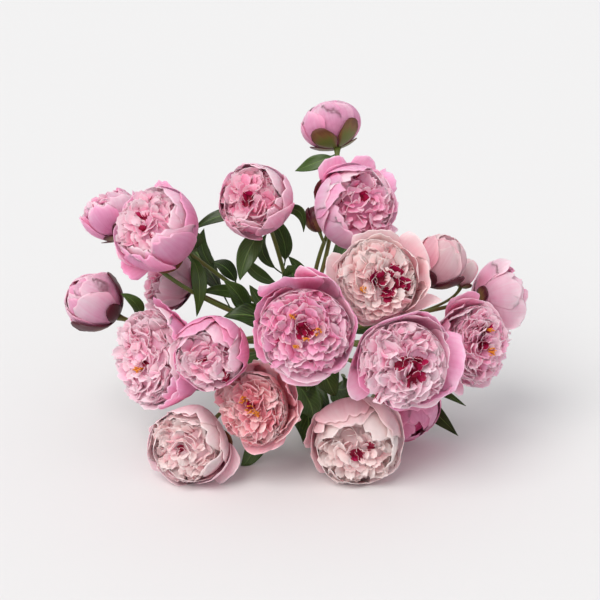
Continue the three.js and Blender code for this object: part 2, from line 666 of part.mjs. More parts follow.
// Each leaflet joins its stem at the first place where it is clear of everything else.
LEAVES.forEach((spec, seed) => {
  const own = stems.find(({ head }) => head.name === spec.stem);
  const others = [...blooms, ...stems.filter((stem) => stem !== own)];
  for (const shift of SHIFTS) {
    const trial = leaf(spec, own.head.route, seed, shift);
    if (others.some(({ solid }) => solid.minGap(trial, LEAF_GAP) < LEAF_GAP)) continue;
    own.solid = joined([own.solid, trial]);
    return;
  }
  throw new Error(`there is no room for the leaflet to ${spec.to} on the stem ${spec.stem}`);
});

const bunch = new THREE.Group();
for (const { head, solid } of blooms) {
  bunch.add(part(`bloom_${head.name}`, geometryOf(solid), petalColour(head.name)));
}
for (const { head, solid } of stems) {
  const trimmed = joined([solid.subtract(belowTable)]);
  bunch.add(part(`stem_${head.name}`, geometryOf(trimmed), COLOURS.stem));
}
for (const name of STAMENS) bunch.add(part(`stamens_${name}`, tuft(headNamed(name)), COLOURS.stamen));
bunch.add(part("tie", tie(), COLOURS.twine));

// The part's origin is on the table, under the middle of the bunch.
const box = new THREE.Box3().setFromObject(bunch);
const middle = box.getCenter(new Vector3());
bunch.position.set(-middle.x, -middle.y, -box.min.z);

export default bunch;
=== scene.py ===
import math
import random

import bmesh
import bpy
from mathutils import Matrix, Vector, kdtree, noise


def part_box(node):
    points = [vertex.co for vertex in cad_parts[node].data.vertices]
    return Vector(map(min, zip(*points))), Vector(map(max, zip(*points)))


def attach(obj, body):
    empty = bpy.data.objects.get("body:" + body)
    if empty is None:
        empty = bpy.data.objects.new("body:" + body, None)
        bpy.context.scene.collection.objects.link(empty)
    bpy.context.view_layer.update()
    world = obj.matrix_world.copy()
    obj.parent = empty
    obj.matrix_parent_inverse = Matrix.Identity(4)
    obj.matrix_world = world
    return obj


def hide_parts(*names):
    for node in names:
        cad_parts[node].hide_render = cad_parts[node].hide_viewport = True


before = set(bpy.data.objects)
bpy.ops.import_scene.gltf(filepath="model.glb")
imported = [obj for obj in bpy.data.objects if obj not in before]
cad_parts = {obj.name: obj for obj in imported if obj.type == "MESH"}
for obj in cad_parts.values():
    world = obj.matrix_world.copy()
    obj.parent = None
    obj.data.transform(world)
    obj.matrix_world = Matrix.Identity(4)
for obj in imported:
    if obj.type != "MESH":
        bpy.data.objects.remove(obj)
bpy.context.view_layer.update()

# How the bunch lies. In its own frame the origin is the middle of the tie, +Z runs forward to
# the heads and +Y up. It is tipped down until it rests on its lowest heads and its cut ends.
LIE_ANGLE = 24
TIE_HEIGHT = 85
TWINE_DIAMETER = 3.4
laid_turn = Matrix.Rotation(math.radians(90 - LIE_ANGLE), 4, "X")
laid_down = Matrix.Translation((0, 0, TIE_HEIGHT)) @ laid_turn
forward = laid_turn @ Vector((0, 0, 1))
TIE_SETBACK = 1.5 * TWINE_DIAMETER  # the twine is wound a little behind the origin
tie_low, tie_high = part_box("tie")
tie_middle = laid_down @ Vector((0, 0, -TIE_SETBACK))
to_metres = (
    Matrix.Translation((tie_low + tie_high) / 2)
    @ Matrix.Scale(0.001, 4)
    @ Matrix.Translation(-tie_middle)
)

# The camera looks along the bunch's axis from two metres, as the photograph does, and so down
# on the table at the angle at which the bunch lies.
CAMERA_RISE = 43
CAMERA_DISTANCE = 2000
LENS = 98.2
SENSOR_WIDTH = 36
camera = bpy.data.objects.new("camera", bpy.data.cameras.new("camera"))
camera.data.lens = LENS
camera.data.sensor_width = SENSOR_WIDTH
camera.location = to_metres @ laid_down @ Vector((0, CAMERA_RISE, CAMERA_DISTANCE))
camera.rotation_euler = laid_turn.to_euler()
bpy.context.scene.collection.objects.link(camera)
bpy.context.scene.camera = camera

# The table: a board rolled with matt off-white paint, wide enough that its edge is out of sight.
TABLE_WIDTH = 12000
GRAINS_A_METRE = 900
GRAIN_DEPTH = 0.1


def linear(colour):
    """A linear colour from an sRGB hex value."""
    parts = [int(colour[i : i + 2], 16) / 255 for i in (1, 3, 5)]
    return tuple(c / 12.92 if c <= 0.04045 else ((c + 0.055) / 1.055) ** 2.4 for c in parts) + (1,)


def add(tree, kind, inputs=None, **settings):
    """Adds a shader node with its settings and its inputs: values, sockets or other nodes."""
    node = tree.nodes.new("ShaderNode" + kind)
    for key, value in settings.items():
        setattr(node, key, value)
    for key, value in (inputs or {}).items():
        if isinstance(value, bpy.types.Node):
            value = value.outputs[0]
        if isinstance(value, bpy.types.NodeSocket):
            tree.links.new(value, node.inputs[key])
        else:
            node.inputs[key].default_value = value
    return node


def new_material(name):
    """An empty material, its node tree and its output node."""
    material = bpy.data.materials.new(name)
    material.use_nodes = True
    tree = material.node_tree
    tree.nodes.clear()
    return material, tree, tree.nodes.new("ShaderNodeOutputMaterial")


# The roller leaves a fine grain of about a millimetre, so the paint has no gloss to mirror.
painted_board, tree, output = new_material("painted_board")
grain = add(tree, "TexNoise", {"Scale": GRAINS_A_METRE, "Detail": 3})
bump = add(tree, "Bump", {"Height": grain, "Distance": GRAIN_DEPTH / 1000, "Strength": 0.2})
board = add(tree, "BsdfPrincipled", {"Base Color": linear("#DADBDC"), "Roughness": 0.8, "Normal": bump})
tree.links.new(board.outputs[0], output.inputs["Surface"])

mesh = bmesh.new()
bmesh.ops.create_grid(mesh, x_segments=1, y_segments=1, size=TABLE_WIDTH / 2000)
floor = bpy.data.objects.new("floor", bpy.data.meshes.new("floor"))
mesh.to_mesh(floor.data)
mesh.free()
floor.data.materials.append(painted_board)
bpy.context.scene.collection.objects.link(floor)

# Soft studio light: a bright room, and a wide lamp from the upper left as a large window gives.
ROOM_LIGHT = 0.74
LAMP_STRENGTH = 2.2
LAMP_ANGLE = 45
LAMP_FROM = Vector((-0.5, 0.7, 0.9))
bpy.context.scene.view_settings.view_transform = "Standard"
world = bpy.data.worlds.new("studio")
world.use_nodes = True
world.node_tree.nodes["Background"].inputs["Color"].default_value = linear("#FBFBFD")
world.node_tree.nodes["Background"].inputs["Strength"].default_value = ROOM_LIGHT
bpy.context.scene.world = world
lamp = bpy.data.objects.new("lamp", bpy.data.lights.new("lamp", "SUN"))
lamp.data.energy = LAMP_STRENGTH
lamp.data.angle = math.radians(LAMP_ANGLE)
lamp.data.color = linear("#FFFBF6")[:3]
lamp.rotation_euler = (laid_turn @ LAMP_FROM).to_track_quat("Z", "Y").to_euler()
bpy.context.scene.collection.objects.link(lamp)


# The heads. Each is an egg that its petals fill: at is its middle and faces the way it looks,
# both in the bunch's frame. A dye is how deep a pink the petals have and how far it leans from
# salmon to lilac, first for the guard petals and then for the ruffled ones inside; the guard dye
# of under_left is paler than its own pink, as painted light against the shade the other heads
# cast on it. The lists are in the head's own frame: a heart (x, y, radius) is a place where the
# ruffles part on crimson bases, and a tuft (x, y, radius) one where stamens show. opens is the
# bearing that the head opens to, with by how much, and a stray a single guard petal (bearing,
# end, half width, flare).
class Head:
    def __init__(
        self, name, at, faces, radius, height, form, guards, ruffles,
        hearts=(), opens=(0, 0), strays=(), tufts=(),
    ):
        self.name = name
        self.radius, self.height, self.form = radius, height, form
        self.guards, self.ruffles, self.hearts = guards, ruffles, hearts
        self.opens, self.strays, self.tufts = opens, strays, tufts
        self.at = Vector(at)
        self.axis = (laid_turn @ Vector(faces)).normalized()
        self.middle = laid_down @ self.at
        self.base = self.middle - self.axis * height
        self.turn = Vector((0, 0, 1)).rotation_difference(self.axis)

    def reach(self, direction):
        """How far the head reaches from its middle in a direction."""
        along = direction.dot(self.axis)
        across = math.sqrt(max(0, 1 - along * along))
        return math.hypot(self.radius * across, self.height * along)

    def placed(self, x, y, z):
        """A point of the head's own frame, bent clear of the neighbours and the table."""
        point = self.turn @ Vector((x, y, z)) + self.base
        for normal, limit in self.presses:
            out = (point - self.middle).dot(normal) - (limit - PRESS_DEPTH)
            if out > 0:
                point += normal * (PRESS_DEPTH * (1 - math.exp(-out / PRESS_DEPTH)) - out)
        point.z = max(point.z, REST_LEVEL)
        return point


FLOWERS = [
    Head(
        "open_mid", (5, 15, 250), (0, -0.05, 1), 60, 42, "open", (0.42, 0.7), (0.22, 0.5),
        hearts=[(-1, -4, 9)], opens=(-90, 14), strays=[(-35, 90, 28, 0.2)],
        tufts=[(-13, 12, 4), (13, -4, 5), (-10, -21, 4), (1, -12, 4)],
    ),
    Head(
        "open_pale", (89, 65, 222), (0.1, 0.1, 1), 55, 42, "open", (0.3, 0.35), (0.1, 0.0),
        hearts=[(-7, -1, 9), (9, 10, 7), (4, -17, 7), (17, -6, 7)], opens=(200, 12),
        strays=[(-38, 102, 34, 0.3), (172, 94, 30, 0.2)], tufts=[(-22, -14, 4)],
    ),
    Head(
        "open_big", (116, -22, 238), (0.18, -0.1, 1), 59, 42, "open", (0.46, 0.7), (-0.02, 0.3),
        hearts=[(5, -15, 9), (8, 1, 7), (-8, 0, 7), (-15, -6, 5)], opens=(-130, 14),
        strays=[(205, 90, 30, 0.22), (178, 92, 26, 0.18)],
    ),
    Head(
        "bowl_mid", (-96, -15, 215), (-0.1, -0.15, 1), 42, 36, "bowl", (0.66, 0.5), (0.02, 0.25),
        hearts=[(-5, -4, 4), (14, -22, 6)], opens=(225, 20),
    ),
    Head(
        "open_coral", (-48, -74, 190), (-0.3, 0, 1), 50, 40, "open", (0.35, 0.2), (0.2, 0.0),
        hearts=[(-2, 2, 6)], opens=(200, 12), tufts=[(-7, 9, 5), (0, -3, 6), (6, -8, 4)],
    ),
    Head(
        "bowl_low", (64, -116, 172), (0.05, -0.3, 1), 52, 44, "bowl", (0.38, 0.3), (-0.06, 0.1),
        hearts=[(-2, -8, 9), (15, 2, 6)], opens=(-95, 18),
        strays=[(170, 84, 30, 0.1), (200, 88, 26, 0.06)],
    ),
    Head(
        "bowl_pale", (-123, -119, 170), (-0.2, -0.2, 1), 46, 40, "bowl", (0.36, 0.9), (0.02, 0.5),
        hearts=[(-6, 2, 5)], opens=(175, 15), strays=[(-42, 88, 34, 0.3)],
    ),
    Head(
        "open_left", (-166, -23, 150), (-0.8, -0.05, 1), 64, 40, "open", (0.48, 0.8), (-0.04, 0.2),
        hearts=[(-2, -6, 6)], opens=(150, 38), strays=[(-75, 92, 34, 0.1), (-42, 98, 30, 0.12)],
        tufts=[(-8, -8, 4)],
    ),
    Head(
        "open_right", (196, -8, 150), (0.8, -0.05, 1), 54, 38, "open", (0.34, 0.4), (0.16, 0.3),
        hearts=[(0, 2, 8), (0, 18, 6)], opens=(20, 10), strays=[(118, 90, 30, 0.15)],
        tufts=[(11, -2, 5), (-1, 20, 4)],
    ),
    Head(
        "bowl_right", (63, 150, 138), (0.42, 0.12, 1), 49, 42, "bowl", (0.42, 0.75), (0.18, 0.4),
        hearts=[(0, 8, 6)], opens=(20, 5),
        strays=[
            (15, 86, 26, 0.2),
            (-22, 88, 26, 0.2),
            (85, 96, 18, 0.2),
            (48, 92, 22, 0.28),
            (125, 92, 24, 0.25),
        ],
    ),
    Head(
        "bowl_top", (-51, 157, 130), (-0.25, 0.3, 1), 43, 36, "bowl", (0.36, 0.4), (0.14, 0.1),
        hearts=[(-6, -4, 9)], opens=(170, 8),
    ),
    Head(
        "bowl_left", (-163, 124, 150), (-0.3, 0.25, 1), 49, 45, "bowl", (0.55, 0.65), (0.0, 0.3),
        hearts=[(-8, 9, 6), (-9, -4, 5)], opens=(135, 30),
        strays=[(218, 84, 24, 0.32), (82, 98, 22, 0.3)],
    ),
    Head("bud_right", (160, 88, 135), (0.5, 0.85, 0.1), 30, 31, "bud", (0.55, 0.3), (0.5, 0.3)),
    Head("side_right", (236, 47, 80), (0.9, 0.15, -0.35), 46, 32, "back", (0.22, 0.3), (0.3, 0.3)),
    Head("bud_left", (-241, 42, 95), (-0.75, 0.5, 0.25), 33, 33, "bud", (0.34, 0.35), (0.4, 0.35)),
    Head("side_left", (-222, 146, 80), (-0.4, 0.85, -0.25), 38, 32, "back", (0.3, 0.75), (0.3, 0.5)),
    # Its guard dye is pale, as painted light that makes up for the shade the other heads cast on it.
    Head(
        "under_left", (-160, 68, 66), (-0.8, 0.35, 0.2), 38, 34, "back", (0.15, 0.3), (0.2, 0.3),
        strays=[(180, 84, 34, 0.2)],
    ),
    Head("under_right", (122, -84, 98), (0.5, -0.75, 0.45), 44, 36, "bud", (0.62, 0.35), (0.6, 0.35)),
    Head("bud_top", (37, 253, 40), (-0.25, 0.95, -0.2), 36, 28, "bud", (0.38, 0.5), (0.4, 0.5)),
]
SMALL_BUD = Head(
    "bud_small", (194, 75, 92), (0.35, 0.9, 0.1), 15, 17, "side_bud", (0.35, 0.5), (0.4, 0.5)
)
CLOSED_BUD = Head("bud_closed", (18, 138, 88), (-0.3, 0.9, 0.1), 11, 14, "closed", (0, 0), (0, 0))
HEADS = [*FLOWERS, SMALL_BUD, CLOSED_BUD]

# Where two heads press on each other, their petals bend along the plane between them.
HEAD_GAP = 1.8
PRESS_DEPTH = 10
REST_LEVEL = 0.3
for head in HEADS:
    head.presses = []
    for other in HEADS:
        if other is head:
            continue
        normal = other.middle - head.middle
        apart = normal.length
        normal.normalize()
        mine, theirs = head.reach(normal), other.reach(-normal)
        overlap = mine + theirs + HEAD_GAP - apart
        if overlap > 0:
            head.presses.append((normal, mine - overlap * mine / (mine + theirs)))

# The blooms: soft, thin petals that grow in whorls from one base. Guard petals are broad and
# cupped, and lie on shells of the egg. The ruffled ones inside are narrow and torn at the tip.
# A whorl is a ring of guard petals: how many, on what share of the egg, how far up they start,
# how far round from its base they end, half their width, and how they wave, flare and tear. The
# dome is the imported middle: its width and its two levels as shares of the egg, how far out its
# ruffles stand, how many they are, and their length and half width, from its middle to its rim.
PETAL_THICKNESS = 0.32
PETAL_ACROSS, PETAL_ALONG = 12, 14
RUFFLE_ACROSS, RUFFLE_ALONG = 8, 5
RUFFLE_ROOT = 5
RIM_LINE = 0.97
DOME_DEPTH = 0.06
GOLDEN_TURN = 2.39996
FORMS = {
    "open": {
        "whorls": [
            dict(count=7, share=0.91, root=0, end=92, half=38, wave=3, flare=(0.02, 0.19), tear=0.08),
            dict(count=6, share=0.85, root=2, end=96, half=38, wave=4, flare=(-0.02, 0.18), tear=0.08),
        ],
        "dome": dict(
            width=0.69, middle=0.84, top=1.42, edge=104, count=200, length=(12, 18), half=(5, 9.5)
        ),
    },
    "bowl": {
        "whorls": [
            dict(count=6, share=1, root=0, end=112, half=44, wave=1.8, flare=(-0.02, 0.06), tear=0.03),
            dict(count=5, share=0.94, root=2, end=120, half=46, wave=2, flare=(-0.02, 0.06), tear=0.03),
            dict(
                count=4, share=0.87, root=4, end=124, half=48, wave=2.2, flare=(-0.02, 0.06), tear=0.03
            ),
        ],
        "dome": dict(
            width=0.76, middle=0.95, top=1.5, edge=94, count=120, length=(11, 16), half=(4.8, 8.5)
        ),
    },
    "back": {
        "whorls": [
            dict(count=6, share=0.97, root=0, end=100, half=40, wave=2.6, flare=(-0.05, 0.1), tear=0.1),
            dict(count=6, share=0.93, root=2, end=104, half=36, wave=3, flare=(-0.05, 0.1), tear=0.1),
            dict(count=6, share=0.84, root=4, end=110, half=34, wave=3, flare=(-0.05, 0.1), tear=0.1),
        ],
        "dome": dict(width=0.68, middle=0.95, top=1.4, edge=92, count=80, length=(12, 18), half=(5, 9)),
    },
    "bud": {
        "whorls": [
            dict(count=5, share=1, root=0, end=132, half=50, wave=0.9, flare=(0, 0), tear=0.02),
            dict(count=5, share=0.96, root=1, end=144, half=50, wave=0.9, flare=(0, 0), tear=0.02),
            dict(count=4, share=0.92, root=2, end=156, half=58, wave=0.9, flare=(0, 0), tear=0.02),
            dict(count=4, share=0.88, root=3, end=168, half=62, wave=0.9, flare=(0, 0), tear=0.02),
        ],
        "dome": dict(width=0.82, middle=1, top=1.84, count=0),
    },
    "side_bud": {
        "whorls": [
            dict(count=4, share=1, root=0, end=138, half=54, wave=0.3, flare=(0, 0), tear=0.02),
            dict(count=4, share=0.9, root=1, end=164, half=60, wave=0.3, flare=(0, 0), tear=0.02),
        ],
        "dome": dict(width=0.8, middle=1, top=1.8, count=0),
    },
}


def new_mesh(*marks):
    """An empty mesh with UVs and the marks that its material reads."""
    mesh = bmesh.new()
    mesh.loops.layers.uv.new("UVMap")
    for mark in marks:
        mesh.verts.layers.float.new(mark)
    return mesh


def sheet(mesh, across, along, place, marks):
    """Adds a grid of faces, with each corner moved to place(u, v): u is -1 to 1, v is 0 to 1."""
    corners = bmesh.ops.create_grid(mesh, x_segments=across, y_segments=along, size=1, calc_uvs=True)
    for corner in corners["verts"]:
        u, v = corner.co.x, (corner.co.y + 1) / 2
        for name, value in marks.items():
            corner[mesh.verts.layers.float[name]] = value(u, v) if callable(value) else value
        corner.co = place(u, v)


def piece(name, mesh, materials, slot, nodes, thickness=0):
    """Finishes a mesh as a piece of the bunch that stands for the CAD nodes named."""
    for corner in mesh.verts:
        corner.co.z = max(corner.co.z, thickness / 2)
    mesh.transform(to_metres)
    item = bpy.data.objects.new(name, bpy.data.meshes.new(name))
    mesh.to_mesh(item.data)
    mesh.free()
    item.data.shade_smooth()
    for material in materials:
        item.data.materials.append(material)
    bpy.context.scene.collection.objects.link(item)
    if thickness:
        wall = item.modifiers.new("wall", "SOLIDIFY")
        wall.thickness = thickness / 1000
        wall.offset = 0
        wall.material_offset = len(materials) - 1
    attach(item, "root")
    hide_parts(*nodes)
    return item


def near_rim(share, steps):
    """Moves the line of a grid that is next to its last close to the rim, so the rim is crisp."""
    return share if abs(share) > 0.999 else share * RIM_LINE / (1 - 1 / steps)


def guard_petal(mesh, head, spec, turn, inner, seed):
    """A broad petal that lies on a shell of the head's egg."""
    rng = random.Random(seed)
    opening = math.radians(head.opens[0])
    end = spec["end"] + rng.uniform(-11, 11) - head.opens[1] * math.cos(turn - opening)
    half = math.radians(spec["half"]) * rng.uniform(0.85, 1.2)
    loose = spec["wave"] / 3
    stray = rng.uniform(-0.1, 0.05) if inner else rng.uniform(-0.07, 0.03)
    base_share = spec["share"] + loose * stray
    rounding, power = rng.uniform(0.1, 0.24), rng.uniform(2, 3.4)
    flare = rng.uniform(*spec["flare"])
    tear = spec["tear"]
    notches = [
        (rng.uniform(-0.85, 0.85), rng.uniform(0, tear), rng.uniform(0.07, 0.16)) for _ in range(3)
    ]
    roll, lap = rng.uniform(-0.07, 0.05), rng.uniform(0.02, 0.08)

    def place(u, v):
        u, v = near_rim(u, PETAL_ACROSS / 2), near_rim(v, PETAL_ALONG)
        frill = 0.1 * noise.noise(Vector((2.2 * u, 0, seed)))
        frill += 0.5 * tear * noise.noise(Vector((9 * u, 1, seed)))
        frill -= sum(cut * math.exp(-(((u - at) / wide) ** 2)) for at, cut, wide in notches)
        out = math.radians(5 + (end - 5) * v * (1 - rounding * abs(u) ** power + frill * v**3))
        bearing = turn + half * u * (0.6 + 0.4 * v) * (1 - 0.3 * max(0, (v - 0.72) / 0.28) ** 2)
        ripple = spec["wave"] * v * v * noise.noise(Vector((1.5 * u, 1.3 * v, seed + 0.5)))
        ripple += 0.5 * spec["wave"] * v**5 * noise.noise(Vector((4.5 * u, 2, seed + 0.7)))
        share = base_share + lap * u * v + roll * u * u * v + flare * max(0, v - 0.6) ** 2 * 6
        radius = (share * head.radius + ripple) * math.sin(out)
        rise = spec["root"] + head.height * (1 - 0.08 * inner) * (1 - math.cos(out))
        return head.placed(radius * math.cos(bearing), radius * math.sin(bearing), rise)

    blush = head.guards[0] + (head.ruffles[0] - head.guards[0]) * inner + rng.uniform(-0.14, 0.14)
    lilac = head.guards[1] + (head.ruffles[1] - head.guards[1]) * inner
    crimson = rng.uniform(0.4, 0.62) if inner and rng.random() < 0.1 else 0
    marks = {"blush": blush, "lilac": lilac, "crimson": crimson}
    sheet(mesh, PETAL_ACROSS, PETAL_ALONG, place, marks)


def dome_point(head, out, bearing):
    """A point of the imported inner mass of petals, in the head's own frame."""
    dome = FORMS[head.form]["dome"]
    radius = dome["width"] * head.radius * math.sin(out)
    rise = head.height * (dome["middle"] + (dome["top"] - dome["middle"]) * math.cos(out))
    return Vector((radius * math.cos(bearing), radius * math.sin(bearing), rise))


def heart_at(head, point):
    """How near a point is to a heart, from 0 to 1, and the way out of hearts and stamens."""
    best, away = 0, Vector((0, 0, 0))
    for x, y, size in (*head.hearts, *head.tufts):
        aside = Vector((point.x - x, point.y - y, 0))
        if (x, y, size) in head.hearts:
            best = max(best, math.exp(-((aside.length / size) ** 2)))
        away += aside.normalized() * math.exp(-((aside.length / (1.8 * size)) ** 2))
    return best, away


def inner_mass(mesh, head):
    """The closed middle of the head that the ruffles stand out of."""
    for step in range(4):

        def at(u, v):
            return dome_point(head, 2.5 * v, math.pi / 2 * (step + (u + 1) / 2))

        def crimson(u, v):
            return min(1, 1.7 * heart_at(head, at(u, v))[0])

        def place(u, v):
            point = at(u, v)
            depth = DOME_DEPTH * head.height * (1 + heart_at(head, point)[0])
            return head.placed(point.x * (1 - DOME_DEPTH), point.y * (1 - DOME_DEPTH), point.z - depth)

        # The middle is dyed 0.12 deeper than its ruffles: partly the petals' deeper bases, partly
        # painted shade in the gaps where it shows.
        marks = {"blush": head.ruffles[0] + 0.12, "lilac": head.ruffles[1], "crimson": crimson}
        sheet(mesh, 8, 16, place, marks)


def ruffle(mesh, head, number, seed):
    """A short petal with a torn tip, which leans out from the dome in the middle of a head."""
    rng = random.Random(seed)
    dome = FORMS[head.form]["dome"]
    share = ((number + 0.5) / dome["count"]) ** 1.05
    out = math.acos(1 - (1 - math.cos(math.radians(dome["edge"]))) * share)
    bearing = GOLDEN_TURN * number + rng.uniform(-0.3, 0.3)
    root = dome_point(head, out, bearing)
    near, away = heart_at(head, root)
    radial = Vector((math.cos(bearing), math.sin(bearing), 0))
    # Neighbours lean alike. Blender seeds this vector from its clock, so the lean differs each run.
    flow = noise.noise_vector(Vector((root.x / 18, root.y / 18, seed // 1000)))
    way = (0.3 + 0.8 * math.sin(out)) * radial + 1.1 * Vector((flow.x, flow.y, 0)) + 1.1 * away
    way = (way + Vector((rng.gauss(0, 0.5), rng.gauss(0, 0.5), 0))).normalized()
    tilt = math.radians(rng.uniform(14, 48) + 32 * math.sin(out))
    up = Vector((0, 0, 1))
    spine = math.cos(tilt) * up + math.sin(tilt) * way
    side = spine.cross(up).normalized()
    side.rotate(Matrix.Rotation(rng.gauss(0, 0.45), 3, spine))
    face = side.cross(spine).normalized()
    wide = math.sin(out) ** 1.5
    (short, long), (narrow, broad) = dome["length"], dome["half"]
    length = (short + (long - short) * wide) * rng.uniform(0.7, 1.25)
    length *= (1 - 0.25 * near) * (1 + 0.4 * flow.z)
    size = 1 + (0.5 + 0.5 * wide) * (rng.random() < 0.16)
    half = (narrow + (broad - narrow) * wide) * rng.uniform(0.7, 1.4) * size
    curl, fold = rng.uniform(-0.35, 0.6) * length, rng.uniform(-0.25, 0.4) * half
    teeth = [rng.uniform(0, 0.1) + 0.1 * (i % 2) for i in range(RUFFLE_ACROSS + 1)]
    root -= RUFFLE_ROOT * spine

    def place(u, v):
        tooth = teeth[round((u + 1) / 2 * RUFFLE_ACROSS)]
        u, v = near_rim(u, RUFFLE_ACROSS / 2), near_rim(v, RUFFLE_ALONG)
        run = v * (1 - 0.34 * abs(u) ** 2.2 - tooth * v**4)
        width = half * (0.5 + 0.5 * math.sin(min(1.4, 1.8 * v)))
        wave = 0.34 * half * v * noise.noise(Vector((1.6 * u, 1.3 * v, seed + 0.3)))
        bend = wave + fold * u * u * v + curl * 0.6 * max(0, v - 0.3) ** 2
        point = root + spine * (run * length) + side * (u * width) + face * bend
        away = point - Vector((0, 0, head.height))
        open_side = math.cos(math.atan2(away.y, away.x) - math.radians(head.opens[0]))
        limit = dome["width"] + 0.14 + (0.16 * open_side if head.opens[1] else 0)
        depth = math.hypot(math.hypot(away.x, away.y) / head.radius, away.z / (1.2 * head.height))
        return head.placed(*(point if depth < limit else point - away * (1 - limit / depth)))

    blush, lilac = head.ruffles
    if near > 0.3:
        stain = min(1.1, 1.9 * near)
    else:
        stain = rng.uniform(0.4, 0.7) if rng.random() < 0.08 else 0
    blush += rng.uniform(-0.2, 0.2)
    marks = {"blush": blush, "lilac": lilac, "crimson": lambda u, v: stain * (1.2 - 0.65 * v)}
    sheet(mesh, RUFFLE_ACROSS, RUFFLE_ALONG, place, marks)


def streaks(tree, place, across, along, detail):
    """Streaks that run along a surface: noise that is stretched along its UV map."""
    scale = {"Vector": place, "Scale": (across, along, 1)}
    stretched = add(tree, "Mapping", scale)
    return add(tree, "TexNoise", {"Vector": stretched, "Scale": 1, "Detail": detail})


def clouds_in(tree, a_metre, detail):
    """Clouds of noise in a piece's own space, so many a metre."""
    where = add(tree, "TexCoord").outputs["Object"]
    return add(tree, "TexNoise", {"Vector": where, "Scale": a_metre, "Detail": detail})


def from_midline(tree, along):
    """How far a point is from a petal's or leaf's middle line, from 0 to a half."""
    aside = add(tree, "Math", {0: along, 1: 0.5}, operation="SUBTRACT")
    return add(tree, "Math", {0: aside}, operation="ABSOLUTE")


def set_colours(ramp, *stops):
    """Sets a ramp's colours, each an sRGB hex value at a place from 0 to 1."""
    while len(ramp.color_ramp.elements) < len(stops):
        ramp.color_ramp.elements.new(0.5)
    for element, (place, colour) in zip(ramp.color_ramp.elements, stops):
        element.position, element.color = place, linear(colour)


# Petals are living tissue, full of water and thinner than paper. Light goes through them, so their
# shadows are soft, and their skin is matt. Fine veins run from root to tip, a petal is deepest at
# its root and palest at its rim, and crimson flames rise from the base. The deeper root is partly
# the petal's own colour and partly painted shade, as the roots lie in the gaps between petals.
# Clouds are 14 mm wide.
CLOUDS_A_METRE = 70
VEIN_DEPTH = 0.4
LIGHT_DEPTH = 2.5


def petal_material(name, pale, light, deep):
    """Petal tissue of one dye, from its palest tone to its deepest."""
    material, tree, output = new_material(name)
    place = add(tree, "UVMap", uv_map="UVMap")
    along = add(tree, "SeparateXYZ", {0: place})
    # This mark carries each petal's dye and, with it, painted light: under_left's guards are paler and
    # the middle is a little deeper, as painted shade.
    blush = add(tree, "Attribute", attribute_name="blush")
    lilac = add(tree, "Attribute", attribute_name="lilac")
    crimson = add(tree, "Attribute", attribute_name="crimson")
    # The tone deepens towards the root: partly the petal's own colour, partly painted shade for the
    # gaps between petals, where the roots lie.
    root = add(tree, "MapRange", {"Value": along.outputs[1], 1: 0.0, 2: 1.0, 3: 0.3, 4: -0.08})
    veins = streaks(tree, place, 26, 1.6, 3)
    clouds = clouds_in(tree, CLOUDS_A_METRE, 2)
    aside = from_midline(tree, along)
    edge = add(tree, "MapRange", {"Value": aside, 1: 0.3, 2: 0.5, 3: 0.0, 4: 0.06})
    tip = add(tree, "MapRange", {"Value": along.outputs[1], 1: 0.7, 2: 1.0, 3: 0.0, 4: 0.1})
    rim = add(tree, "Math", {0: edge, 1: tip}, operation="MAXIMUM")
    tone = add(tree, "Math", {0: blush.outputs["Fac"], 1: root}, operation="ADD")
    for pattern, strength in ((veins, 0.26), (clouds, 0.24)):
        more = {0: pattern, 1: strength, 2: tone}
        tone = add(tree, "Math", more, operation="MULTIPLY_ADD")
    tone = add(tree, "Math", {0: tone, 1: 0.25}, operation="SUBTRACT")
    tone = add(tree, "Math", {0: tone, 1: rim}, operation="SUBTRACT")
    ramp = add(tree, "ValToRGB", {"Fac": tone})
    set_colours(ramp, (0, pale), (0.4, light), (1, deep))
    hue = add(tree, "MapRange", {"Value": lilac.outputs["Fac"], 3: 0.515, 4: 0.49})
    dyed = add(tree, "HueSaturation", {"Hue": hue, "Color": ramp})
    flames = streaks(tree, place, 7, 1.2, 2)
    flames = add(tree, "Math", {0: crimson.outputs["Fac"], 1: flames}, operation="ADD")
    stain = add(tree, "MapRange", {"Value": flames, 1: 1.1, 2: 1.22})
    stained = add(tree, "Mix", {0: stain, 6: dyed, 7: linear("#8A0430")}, data_type="RGBA")
    bump = add(tree, "Bump", {"Height": veins, "Distance": VEIN_DEPTH / 1000, "Strength": 0.15})
    tissue = add(
        tree,
        "BsdfPrincipled",
        {
            "Base Color": stained.outputs[2],
            "Roughness": 0.55,
            "Specular IOR Level": 0.2,
            "Subsurface Weight": 0.8,
            "Subsurface Radius": (1.0, 1.0, 1.0),
            "Subsurface Scale": LIGHT_DEPTH / 1000,
            "Sheen Weight": 0.03,
            "Normal": bump,
        },
    )
    tree.links.new(tissue.outputs[0], output.inputs["Surface"])
    return material


